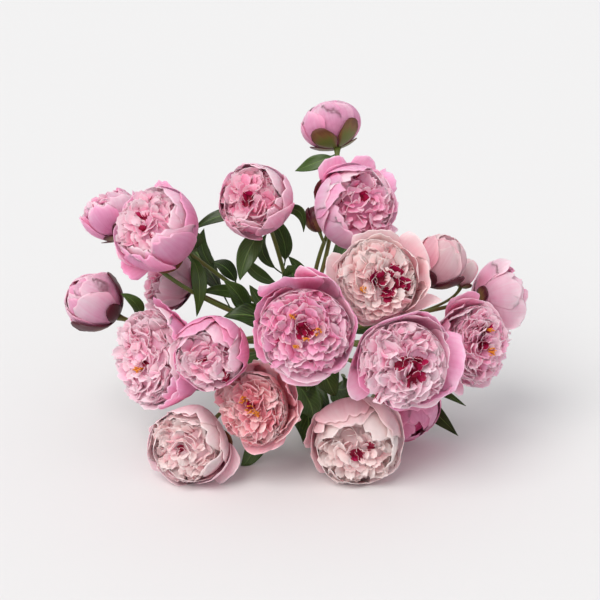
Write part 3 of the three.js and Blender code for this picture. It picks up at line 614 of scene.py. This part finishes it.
petal_pink = petal_material("pink_petal", "#FED2E3", "#FB98C0", "#D02470")
petal_pale = petal_material("blush_petal", "#FEE0DF", "#FBBAC7", "#DC487A")
petal_coral = petal_material("coral_petal", "#FED3D6", "#FB96AF", "#DA3668")
DYES = {"open_coral": ("petal_coral", petal_coral)}
for name in ("open_pale", "bowl_low", "bowl_pale", "bud_small", "bud_right"):
    DYES[name] = ("petal_pale", petal_pale)
for order, head in enumerate([*FLOWERS, SMALL_BUD]):
    mesh = new_mesh("blush", "lilac", "crimson")
    form = FORMS[head.form]
    for ring, whorl in enumerate(form["whorls"]):
        inner = ring / len(form["whorls"])
        for number in range(whorl["count"]):
            seed = 1000 * order + 100 * ring + number
            turn = 2 * math.pi * (number + 0.37 * ring + 0.22 * math.sin(7.7 * seed)) / whorl["count"]
            guard_petal(mesh, head, whorl, turn, inner, seed)
    for number, (bearing, end, half, flare) in enumerate(head.strays):
        spec = dict(share=1.03, root=-1, end=end, half=half, wave=2.4, flare=(flare, flare), tear=0.05)
        guard_petal(mesh, head, spec, math.radians(bearing), 0, 1000 * order + 450 + number)
    inner_mass(mesh, head)
    for number in range(form["dome"]["count"]):
        ruffle(mesh, head, number, 1000 * order + 500 + number)
    slot, material = DYES.get(head.name, ("petal_pink", petal_pink))
    piece(f"petals_{head.name}", mesh, [material], slot, [f"bloom_{head.name}"], PETAL_THICKNESS)

# The stamens: golden-orange threads, each with a long anther full of pollen at its tip. They grow
# from the base of the flower, and show in tufts where the ruffled petals part.
STAMENS_A_TUFT = 16
STAMEN_LENGTH = 17
STAMEN_DEPTH = 7
POLLEN_A_METRE = 1800

# Ripe pollen: anthers split and are dusted with grains in clumps of about 0.55 mm, which makes
# them matt and speckled. The thread below is redder and darkens towards its root.
pollen_gold, tree, output = new_material("stamen_gold")
place = add(tree, "UVMap", uv_map="UVMap")
along = add(tree, "SeparateXYZ", {0: place})
dust = clouds_in(tree, POLLEN_A_METRE, 2)
gold = add(tree, "Math", {0: dust, 1: 0.3, 2: along.outputs[1]}, operation="MULTIPLY_ADD")
gold = add(tree, "ValToRGB", {"Fac": gold})
set_colours(gold, (0, "#B33D0E"), (1, "#E6921E"))
bump = add(tree, "Bump", {"Height": dust, "Distance": 0.0002, "Strength": 0.5})
skin = add(tree, "BsdfPrincipled", {"Base Color": gold, "Roughness": 0.7, "Normal": bump})
tree.links.new(skin.outputs[0], output.inputs["Surface"])


def bezier(corners, share):
    """A point of the Bezier curve with these corners."""
    while len(corners) > 1:
        corners = [a.lerp(b, share) for a, b in zip(corners, corners[1:])]
    return corners[0]


def tube(mesh, line, radius_at, sides, steps, marks):
    """Adds a round tube along line(v) with flat ends, each of which takes two rows of faces."""
    rows, side = [], None
    for step in range(steps + 1):
        v = min(max(step - 2, 0), steps - 4) / (steps - 4)
        ahead = (line(min(1, v + 0.002)) - line(max(0, v - 0.002))).normalized()
        side = side or ahead.orthogonal()
        side = (side - ahead * side.dot(ahead)).normalized()
        full = (0, 0.94, 1)[min(step, steps - step, 2)]
        rows.append((line(v), side, ahead.cross(side), radius_at(v) * full))

    def place(u, v):
        middle, across, up, radius = rows[round(v * steps)]
        return middle + radius * (math.cos(math.pi * u) * across + math.sin(math.pi * u) * up)

    sheet(mesh, sides, steps, place, marks)


def closed(mesh):
    """Joins the seams of tubes and turns their faces outward."""
    bmesh.ops.remove_doubles(mesh, verts=mesh.verts[:], dist=0.001)
    bmesh.ops.recalc_face_normals(mesh, faces=mesh.faces[:])
    return mesh


def stamen(mesh, head, x, y, spread, rng):
    """One stamen of a tuft, from under the petals' roots to just past their tips."""
    turn, out = rng.uniform(0, 2 * math.pi), spread * math.sqrt(rng.random())
    aside = Vector((math.cos(turn), math.sin(turn), 0))
    far = math.hypot(x, y) / (FORMS[head.form]["dome"]["width"] * head.radius)
    level = dome_point(head, math.asin(min(0.95, far)), math.atan2(y, x)).z
    root = Vector((x, y, level - STAMEN_DEPTH)) + 0.4 * out * aside
    tip = Vector((x, y, level - STAMEN_DEPTH + STAMEN_LENGTH * rng.uniform(0.75, 1.05))) + out * aside
    bend = (root + tip) / 2 + Vector((rng.gauss(0, 1), rng.gauss(0, 1), 0))

    def line(v):
        return head.placed(*bezier([root, bend, tip], v))

    def radius(v):
        return 0.32 + 0.5 * math.exp(-(((v - 0.87) / 0.1) ** 2))

    tube(mesh, line, radius, 5, 12, {})


for head in FLOWERS:
    if not head.tufts:
        continue
    mesh = new_mesh()
    rng = random.Random(head.name)
    for x, y, spread in head.tufts:
        for _ in range(STAMENS_A_TUFT):
            stamen(mesh, head, x, y, spread, rng)
    own = f"stamens_{head.name}"
    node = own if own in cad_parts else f"bloom_{head.name}"
    piece(f"tuft_{head.name}", closed(mesh), [pollen_gold], "stamen", [node])

# The stems: round, firm green stalks, cut to one length and bundled at the tie, where those of
# the middle heads stand inside. Each bends from there to its head, clear of the others, and
# swells where it carries the flower. They are grown, olive green with a reddish blush.
STEM_DIAMETER = 5.6
STEM_PITCH = 6
STEM_TAIL = 166
STEM_SPREAD = 0.35
STEM_BENDS = 6
STEM_TENSION = 0.012
STEM_GAP = 1.5
STEM_STEPS = 46
HEAD_CLEARANCE = 3
SETTLING_ROUNDS = 90
BRANCH_RADIUS = 1.7
BASE_DROP = 1.8
BLOTCHES_A_METRE = 26


def draw(seed, index):
    """A number from 0 to 1 that is always the same for the same two whole numbers."""
    wave = math.sin(seed * 127.1 + index * 311.7) * 43758.5453
    return wave - math.floor(wave)


def bundle_places():
    """Where each stem passes the tie: one in the middle, then rings of six and twelve."""
    outward = sorted(FLOWERS, key=lambda head: math.hypot(head.at.x, head.at.y) / (head.at.z + 60))
    found = {}
    for ring, count in enumerate((1, 6, 12)):
        turns = [2 * math.pi * (i + (0.5 if ring == 2 else 0)) / count for i in range(count)]
        heads = outward[:count]
        del outward[:count]
        heads.sort(key=lambda head: math.atan2(head.at.y, head.at.x) % (2 * math.pi))
        bearings = [math.atan2(head.at.y, head.at.x) for head in heads]

        def match(twist):
            return sum(math.cos(turns[(i + twist) % count] - b) for i, b in enumerate(bearings))

        twist = max(range(count), key=match)
        for i, head in enumerate(heads):
            turn = turns[(i + twist) % count]
            found[head.name] = ring * STEM_PITCH * Vector((math.cos(turn), math.sin(turn), 0))
    return found


def stem_points(head, place, seed):
    """The stem's cut end, and its bend from the tie to the head."""
    spread = 1 + STEM_SPREAD
    cut = Vector((place.x * spread, place.y * spread, -STEM_TAIL + 5 * (2 * draw(seed, 9) - 1)))
    tie_point = laid_down @ place
    end = head.base - BASE_DROP * head.axis
    apart = (end - tie_point).length
    corners = [tie_point, tie_point + 0.4 * apart * forward, end - 0.3 * apart * head.axis, end]
    return [laid_down @ cut, *(bezier(corners, i / STEM_BENDS) for i in range(STEM_BENDS + 1))]


def pushed_out(point, clear, own=""):
    """The point, moved out of every head's egg that it doesn't belong to."""
    for head in HEADS:
        away = point - head.middle
        if head.name == own or away.length > head.radius + head.height + clear:
            continue
        along = away.dot(head.axis)
        aside = (away - along * head.axis).length
        depth = math.hypot(aside / (head.radius + clear), along / (head.height + clear))
        if depth < 1:
            point = head.middle + away / depth
    return point


def closest(a, b, c, d):
    """The nearest points of the segments a to b and c to d."""
    one, other, start = b - a, d - c, a - c
    aa, cc, ac = one.dot(one), other.dot(other), one.dot(other)
    ar, cr = one.dot(start), other.dot(start)
    flat = aa * cc - ac * ac
    s = min(1, max(0, (ac * cr - ar * cc) / flat)) if flat else 0
    t = (ac * s + cr) / cc
    if t < 0:
        s, t = min(1, max(0, -ar / aa)), 0
    elif t > 1:
        s, t = min(1, max(0, (ac - ar) / aa)), 1
    return a + s * one, c + t * other


def settle(lines):
    """Moves stems that come too near each other or a head apart, a little at a time."""
    reach = STEM_DIAMETER + STEM_GAP
    for _ in range(SETTLING_ROUNDS):
        for name, mine in lines.items():
            last = len(mine) - 1
            for other in lines:
                if other == name:
                    continue
                theirs = lines[other]
                pairs = zip(theirs, theirs[1:])
                spans = [(0.5 * (c + d), 0.5 * (c - d).length + reach) for c, d in pairs]
                for i in range(1, last):
                    for j, (middle, span) in enumerate(spans):
                        half = 0.5 * (mine[i] - mine[i + 1]).length
                        if (0.5 * (mine[i] + mine[i + 1]) - middle).length > span + half:
                            continue
                        here, there = closest(mine[i], mine[i + 1], theirs[j], theirs[j + 1])
                        apart = (here - there).length
                        short = (reach if i > 1 and j > 1 else STEM_PITCH - 0.2) - apart
                        if short <= 0 or apart < 1e-6:
                            continue
                        for k in (i, i + 1):
                            if 1 < k < last:
                                mine[k] = mine[k] + (here - there) * (0.4 * short / apart)
            for i in range(1, last):
                for share in (0, 0.25, 0.5, 0.75):
                    point = mine[i].lerp(mine[i + 1], share)
                    push = pushed_out(point, STEM_DIAMETER / 2 + HEAD_CLEARANCE, name) - point
                    for k in (i, i + 1):
                        if 1 < k < last:
                            mine[k] = mine[k] + push
                if i > 1:
                    mine[i] = mine[i].lerp(mine[i - 1].lerp(mine[i + 1], 0.5), STEM_TENSION)


def route_point(points, share):
    """A point of the smooth curve through the points (a centripetal Catmull-Rom spline)."""
    place = share * (len(points) - 1)
    i = min(int(place), len(points) - 2)
    here, there = points[i], points[i + 1]
    before = points[i - 1] if i else 2 * here - there
    after = points[i + 2] if i + 2 < len(points) else 2 * there - here
    t0, t1, t2 = ((b - a).length ** 0.5 for a, b in ((before, here), (here, there), (there, after)))
    leave = ((here - before) / t0 - (there - before) / (t0 + t1) + (there - here) / t1) * t1
    arrive = ((there - here) / t1 - (after - here) / (t1 + t2) + (after - there) / t2) * t1
    w = place - i
    return (
        here
        + w * leave
        + w * w * (3 * (there - here) - 2 * leave - arrive)
        + w**3 * (2 * (here - there) + leave + arrive)
    )


def past_tie(points, share):
    """The curve's point at a share of the way from the tie to the head."""
    steps = len(points) - 1
    return route_point(points, (1 + share * (steps - 1)) / steps)


places = bundle_places()
lines = {head.name: stem_points(head, places[head.name], i + 1) for i, head in enumerate(FLOWERS)}
settle(lines)

# Grown stalks: smooth and a little waxy with faint ribs along them, and red in blotches of about
# 38 mm where the sun reached them. Their cut ends show pale, moist flesh.
stem_skin, tree, output = new_material("stem_skin")
place = add(tree, "UVMap", uv_map="UVMap")
ribs = streaks(tree, place, 14, 3, 3)
blotch = clouds_in(tree, BLOTCHES_A_METRE, 2)
tint = add(tree, "Math", {0: ribs, 1: 0.35, 2: blotch}, operation="MULTIPLY_ADD")
green = add(tree, "ValToRGB", {"Fac": tint})
set_colours(green, (0.45, "#5C7234"), (0.72, "#6A7033"), (0.95, "#7A4A32"))
cut = add(tree, "Attribute", attribute_name="cut")
flesh = add(tree, "Mix", {0: cut.outputs["Fac"], 6: green, 7: linear("#B4C08A")}, data_type="RGBA")
bump = add(tree, "Bump", {"Height": ribs, "Distance": 0.0003, "Strength": 0.4})
skin = add(
    tree,
    "BsdfPrincipled",
    {"Base Color": flesh.outputs[2], "Roughness": 0.42, "Specular IOR Level": 0.4, "Normal": bump},
)
tree.links.new(skin.outputs[0], output.inputs["Surface"])


def stem_radius(v):
    """A stem's radius, which tapers from its cut end and swells where it carries the flower."""
    return STEM_DIAMETER / 2 * (1 - 0.14 * v) + 2.2 * math.exp(-(((1 - v) / 0.022) ** 2))


# The stems that carry a side bud, and how far up from the tie its branch leaves each.
BRANCHES = {"side_right": (SMALL_BUD, 0.66), "bowl_right": (CLOSED_BUD, 0.72)}
for head in FLOWERS:
    points = lines[head.name]
    mesh = new_mesh("cut")
    cut_end = {"cut": lambda u, v: 1 if v < 1.5 / STEM_STEPS else 0}
    tube(mesh, lambda v: route_point(points, v), stem_radius, 10, STEM_STEPS, cut_end)
    if head.name in BRANCHES:
        bud, off = BRANCHES[head.name]
        end = bud.base - BASE_DROP * bud.axis
        bend = [past_tie(points, off), end - 20 * bud.axis, end]
        tube(mesh, lambda v: bezier(bend, v), lambda v: BRANCH_RADIUS + 0.9 * v**8, 8, 18, {})
    piece(f"stalk_{head.name}", closed(mesh), [stem_skin], "leaf_green", [f"stem_{head.name}"])

# The calyx: five broad, leathery sepals that cup each head from behind, olive green with dark
# red rims, grown from the top of the stem. The closed bud is still wrapped in its own.
SEPAL_THICKNESS = 0.9
SEPAL_SHARES = (1, 0.6, 0.95, 0.65, 0.85)
SEPAL_CLEARANCE = 3
WRAP_SHARE = 0.88
WRAP_WIDTH = 1.35
HEART_END = 0.005

# How red the sepals of some heads are, from 0 for green to 1 for maroon.
REDNESS = {
    "bud_right": 0.6,
    "under_left": 0.5,
    "bowl_top": 0.4,
    "side_left": 0.4,
    "bud_left": 0.75,
    "side_right": 0.2,
    "bud_closed": 0.3,
    "bud_top": 0.1,
}

# How far up its head a sepal reaches, in degrees, by the head's form and for one bud by its name.
CALYX_REACH = {
    "open": 44,
    "back": 50,
    "bowl": 54,
    "bud": 80,
    "bud_left": 112,
    "side_bud": 70,
    "closed": 180,
}

# Leathery tissue with fine ridges from root to tip, smooth enough for a soft sheen. It grew green
# and ripened to dark red at its rim and tip.
sepal_skin, tree, output = new_material("sepal_skin")
place = add(tree, "UVMap", uv_map="UVMap")
along = add(tree, "SeparateXYZ", {0: place})
redness = add(tree, "Attribute", attribute_name="redness")
aside = from_midline(tree, along)
edge = add(tree, "MapRange", {"Value": aside, 1: 0.26, 2: 0.5, 3: 0.0, 4: 0.5})
tip = add(tree, "MapRange", {"Value": along.outputs[1], 1: 0.5, 2: 1.0, 3: 0.0, 4: 0.5})
rim = add(tree, "Math", {0: edge, 1: tip}, operation="MAXIMUM")
veins = streaks(tree, place, 16, 2, 3)
red = add(tree, "Math", {0: veins, 1: 0.5, 2: rim}, operation="MULTIPLY_ADD")
red = add(tree, "Math", {0: red, 1: redness.outputs["Fac"]}, operation="ADD")
green = add(tree, "ValToRGB", {"Fac": red})
set_colours(green, (0.3, "#66732F"), (0.6, "#7C5A34"), (0.9, "#4E0D20"))
bump = add(tree, "Bump", {"Height": veins, "Distance": 0.0004, "Strength": 0.5})
skin = add(
    tree,
    "BsdfPrincipled",
    {"Base Color": green, "Roughness": 0.45, "Specular IOR Level": 0.4, "Normal": bump},
)
tree.links.new(skin.outputs[0], output.inputs["Surface"])


def sepal(mesh, head, number, seed):
    """A sepal that hugs its head, short of where it would press on a neighbour or the table."""
    rng = random.Random(seed)
    turn = 2 * math.pi * number / 5 + seed // 100
    closed_bud = head.form == "closed"
    share = WRAP_SHARE if closed_bud else SEPAL_SHARES[number]
    reach = CALYX_REACH.get(head.name, CALYX_REACH[head.form]) * share * rng.uniform(0.85, 1.1)
    half = math.radians(rng.uniform(36, 46)) * (WRAP_WIDTH if closed_bud else 1)

    def at(bearing, out, lift=0):
        radius = (1.05 * head.radius + 1.4 + 0.1 * number + lift) * math.sin(out)
        rise = (head.height + BASE_DROP) * (1 - math.cos(out)) - BASE_DROP
        point = Vector((radius * math.cos(bearing), radius * math.sin(bearing), rise))
        return head.turn @ point + head.base

    def clear(point):
        away = point - head.middle
        inside = (away.dot(normal) < limit - SEPAL_CLEARANCE for normal, limit in head.presses)
        return point.z > 2 and all(inside)

    while reach > 16 and not clear(at(turn, math.radians(reach))):
        reach -= 3

    def place(u, v):
        out = math.radians(4 + (reach - 4) * v * (1 - 0.25 * abs(u) ** 2.5))
        width = half * (0.7 + 0.3 * v) * (1 - 0.45 * max(0, v - 0.6) / 0.4)
        return at(turn + width * u, out, 0 if closed_bud else 6.4 * max(0, v - 0.75))

    red = REDNESS.get(head.name, 0)
    sheet(mesh, 6, 8, place, {"redness": red + rng.uniform(-0.2, 0.25)})


for seed, head in enumerate(HEADS):
    mesh = new_mesh("redness")
    for number in range(5):
        sepal(mesh, head, number, 100 * seed + number)
    if head is CLOSED_BUD:
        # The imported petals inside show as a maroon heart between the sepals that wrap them.
        length, width = 2 * head.height * head.axis, 1.94 * head.radius
        tube(
            mesh,
            lambda v: head.base + (HEART_END + 0.99 * v) * length,
            lambda v: width * math.sqrt((HEART_END + 0.99 * v) * (1 - HEART_END - 0.99 * v)),
            12,
            18,
            {"redness": 0.8},
        )
    owner = {"bud_small": "side_right", "bud_closed": "bowl_right"}.get(head.name, head.name)
    name = f"sepals_{head.name}"
    piece(name, mesh, [sepal_skin], "leaf_green", [f"stem_{owner}"], SEPAL_THICKNESS)

# The leaves: thin, smooth and pointed, dark green above and greyer below, with a pale midrib.
# Each grows from its stem on a short stalk, and lies among the stems and under the heads.
LEAF_THICKNESS = 0.6
LEAF_CLEARANCE = 2.2
LEAF_CLOUDS_A_METRE = 45
LEAVES = [
    ("bowl_top", 0.93, (-126, 124, 88), (0, 12, 6), 17),
    ("bowl_top", 0.93, (4, 122, 96), (13, 18, 0), 14),
    ("bowl_top", 0.88, (-70, 66, 92), (-5, 4, 0), 25),
    ("bowl_top", 0.53, (-38, 146, 62), (10, 0, -6), 23),
    ("bowl_top", 0.3, (-14, 94, 92), (14, 0, 4), 18),
    ("bowl_top", 0.42, (-66, 96, 88), (-8, -6, 4), 17),
    ("bowl_top", 0.49, (-40, 121, 50), (-14, 0, 0), 14),
    ("bowl_top", 0.32, (-8, 70, 106), (0, 14, 6), 26),
    ("bowl_left", 0.5, (-104, 88, 66), (4, 6, 4), 20),
    ("bowl_left", 0.86, (-122, 24, 96), (6, 8, 6), 18),
    ("bowl_left", 0.9, (-122, 104, 84), (6, 6, 0), 24),
    ("bowl_left", 0.59, (-114, 128, 56), (-12, 0, 0), 16),
    ("bowl_left", 0.36, (-116, 52, 80), (0, 8, 6), 15),
    ("under_left", 0.53, (-88, 66, 112), (6, 0, 12), 24),
    ("bowl_mid", 0.32, (-92, 24, 96), (0, 10, 6), 30),
    ("bowl_mid", 0.19, (-58, 60, 110), (-4, 0, 8), 20),
    ("bowl_mid", 0.75, (-134, -54, 134), (0, -12, 4), 24),
    ("bud_left", 0.88, (-206, 50, 118), (8, 4, 8), 16),
    ("open_coral", 0.36, (4, -124, 104), (12, -10, 8), 40),
    ("open_coral", 0.75, (-68, -150, 122), (0, -12, 0), 24),
    ("open_coral", 0.5, (14, -92, 140), (10, -6, 10), 34),
    ("bowl_low", 0.32, (28, -106, 92), (-6, -8, 6), 34),
    ("bowl_low", 0.55, (62, -50, 132), (0, -8, 8), 36),
    ("open_mid", 0.45, (8, -62, 128), (0, -12, 6), 36),
    ("open_mid", 0.6, (40, -66, 138), (4, -10, 6), 34),
    ("under_right", 0.8, (186, -116, 84), (10, 2, -16), 24),
    ("under_right", 0.53, (196, -82, 66), (0, 8, -4), 18),
    ("bud_top", 0.97, (-6, 198, 34), (2, 0, 6), 18),
    ("bud_top", 0.36, (70, 150, -20), (10, 0, -8), 28),
    ("open_right", 0.32, (150, 30, 40), (0, 8, -6), 30),
    ("side_right", 0.36, (128, 40, 0), (0, 10, -8), 30),
    ("open_left", 0.25, (-128, -44, -4), (0, 0, -8), 30),
    ("side_left", 0.42, (-150, 128, -4), (0, 8, -8), 30),
]
SHIFTS = [
    laid_turn @ (far * Vector((0.6 * math.cos(i * math.pi / 4), 0, math.sin(i * math.pi / 4))))
    for far in (0, 5, 10, 16, 22, 30)
    for i in range(8 if far else 1)
]


def leaf_corners(points, off, to, bow, shift):
    """A leaf's start, bend and tip."""
    start = past_tie(points, off)
    tip = laid_down @ Vector(to) + 0.5 * shift
    return [start, (start + tip) / 2 + 2 * (laid_turn @ Vector(bow)) + 1.5 * shift, tip]


def leaf(mesh, corners, width, seed):
    """A leaf on its stalk, folded a little along its midrib."""
    a, b, c = corners

    def place(u, v):
        ahead = ((1 - v) * (b - a) + v * (c - b)).normalized()
        across = ahead.cross(forward).normalized()
        across.rotate(Matrix.Rotation(0.6 * (2 * draw(seed, 6) - 1), 3, ahead))
        s = max(0, (v - 0.17) / 0.83)
        half = max(0.5 * width * math.sin(math.pi * s**0.86) ** 0.9, 0.8 * (1 - s**6))
        point = bezier(corners, v) + across * (u * half)
        wave = 0.05 * width * u * u * math.sin(13 * v + 4 * u + seed)
        if s:
            point += across.cross(ahead) * (0.22 * half * abs(u) ** 1.4 + wave)
        point = pushed_out(point, LEAF_CLEARANCE) if v > 0.12 else point
        point.z = max(point.z, 1)
        return point

    sheet(mesh, 8, 22, place, {"shade": draw(seed, 12)})


def leaf_material(name, dark, light, rib, roughness):
    """Leaf tissue: satin, with a pale midrib and finer veins that slant from it to the edge."""
    # A waxy skin gives the upper side its shine, and the pores of the lower side leave it matt and
    # grey. The green clouds over about 22 mm, and the veins lie a little proud of the rest.
    material, tree, output = new_material(name)
    place = add(tree, "UVMap", uv_map="UVMap")
    along = add(tree, "SeparateXYZ", {0: place})
    shade = add(tree, "Attribute", attribute_name="shade")
    aside = from_midline(tree, along)
    midrib = add(tree, "MapRange", {"Value": aside, 1: 0.012, 2: 0.035, 3: 1.0, 4: 0.0})
    slant = add(tree, "Math", {0: aside, 1: -0.9, 2: along.outputs[1]}, operation="MULTIPLY_ADD")
    slant = add(tree, "Math", {0: slant, 1: 60}, operation="MULTIPLY")
    veins = add(tree, "Math", {0: slant}, operation="SINE")
    veins = add(tree, "MapRange", {"Value": veins, 1: 0.75, 2: 1.0, 3: 0.0, 4: 0.35})
    lines_on = add(tree, "Math", {0: midrib, 1: veins}, operation="MAXIMUM")
    clouds = clouds_in(tree, LEAF_CLOUDS_A_METRE, 3)
    tone = add(tree, "Math", {0: shade.outputs["Fac"], 1: 0.6, 2: clouds}, operation="MULTIPLY_ADD")
    ramp = add(tree, "ValToRGB", {"Fac": tone})
    set_colours(ramp, (0.35, dark), (1, light))
    veined = add(tree, "Mix", {0: lines_on, 6: ramp, 7: linear(rib)}, data_type="RGBA")
    bump = add(tree, "Bump", {"Height": lines_on, "Distance": 0.0004, "Strength": 0.6})
    tissue = add(
        tree,
        "BsdfPrincipled",
        {
            "Base Color": veined.outputs[2],
            "Roughness": roughness,
            "Specular IOR Level": 0.4,
            "Normal": bump,
        },
    )
    tree.links.new(tissue.outputs[0], output.inputs["Surface"])
    return material


leaf_upper = leaf_material("leaf_upper_side", "#172808", "#3B561C", "#5F7E3C", 0.36)
leaf_under = leaf_material("leaf_underside", "#4C5F38", "#74865C", "#92A07A", 0.6)
for head in FLOWERS:
    own = [(seed, *spec) for seed, spec in enumerate(LEAVES) if spec[0] == head.name]
    if not own:
        continue
    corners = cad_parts[f"stem_{head.name}"].data.vertices
    tree = kdtree.KDTree(len(corners))
    for i, corner in enumerate(corners):
        tree.insert(to_metres.inverted() @ corner.co, i)
    tree.balance()
    mesh = new_mesh("shade")
    for seed, _, off, to, bow, width in own:

        def miss(shift):
            bend = leaf_corners(lines[head.name], off, to, bow, shift)
            tip = pushed_out(bend[2], LEAF_CLEARANCE)
            tip.z = max(tip.z, 1.5)
            return tree.find(tip)[2]

        shift = min(SHIFTS, key=miss)
        leaf(mesh, leaf_corners(lines[head.name], off, to, bow, shift), width, seed)
    name = f"leaves_{head.name}"
    piece(name, mesh, [leaf_upper, leaf_under], "leaf_green", [f"stem_{head.name}"], LEAF_THICKNESS)

# The tie: natural twine of three twisted strands, wound three times round the bundled stems,
# with its ends tucked under. It is spun from plant fibre, so it is rough and matt.
TWINE_TURNS = 3
TWINE_RADIUS = 16.15
STRAND_OFFSET = 0.85
STRAND_RADIUS = 0.9
STRAND_STEPS = 422
STRAND_LAY = 9

# Spun fibre: it lies along the strand and stands off it in fuzz, so the twine looks ribbed and
# dull. Its colour is painted pale on the raised fibres, as a painted highlight, and brown between
# them, as painted shade.
twine_fibre, tree, output = new_material("twine_fibre")
place = add(tree, "UVMap", uv_map="UVMap")
fibres = streaks(tree, place, 5, 260, 4)
# Painted light: where the fibre noise is high, the ramp gives the pale tan of a painted highlight, and
# where it is low, the brown of painted shade between the fibres.
twine_colour_and_painted_light = add(tree, "ValToRGB", {"Fac": fibres})
set_colours(twine_colour_and_painted_light, (0.3, "#8A6A3C"), (0.75, "#CBB083"))
bump = add(tree, "Bump", {"Height": fibres, "Distance": 0.0003, "Strength": 0.8})
skin = add(
    tree,
    "BsdfPrincipled",
    {"Base Color": twine_colour_and_painted_light, "Roughness": 0.9, "Sheen Weight": 0.2, "Normal": bump},
)
tree.links.new(skin.outputs[0], output.inputs["Surface"])


def strand_line(start):
    """A strand's line, which twists round the twine as that winds round the stems."""

    def line(v):
        turn = 2 * math.pi * (TWINE_TURNS * v - 0.25)
        lay = start + STRAND_LAY * turn
        tuck = 2.4 * (math.exp(-v / 0.006) + math.exp((v - 1) / 0.006))
        out = TWINE_RADIUS - tuck + STRAND_OFFSET * math.cos(lay) + 0.25 * math.sin(3 * turn + 4 * v)
        wound = TWINE_DIAMETER * ((TWINE_TURNS - 1) * v - TWINE_TURNS + 0.5)
        along = wound + STRAND_OFFSET * math.sin(lay)
        return laid_down @ Vector((out * math.cos(turn), out * math.sin(turn), along))

    return line


mesh = new_mesh()
for strand in range(3):
    tube(mesh, strand_line(2 * math.pi * strand / 3), lambda v: STRAND_RADIUS, 6, STRAND_STEPS, {})
piece("twine", closed(mesh), [twine_fibre], "twine", ["tie"])
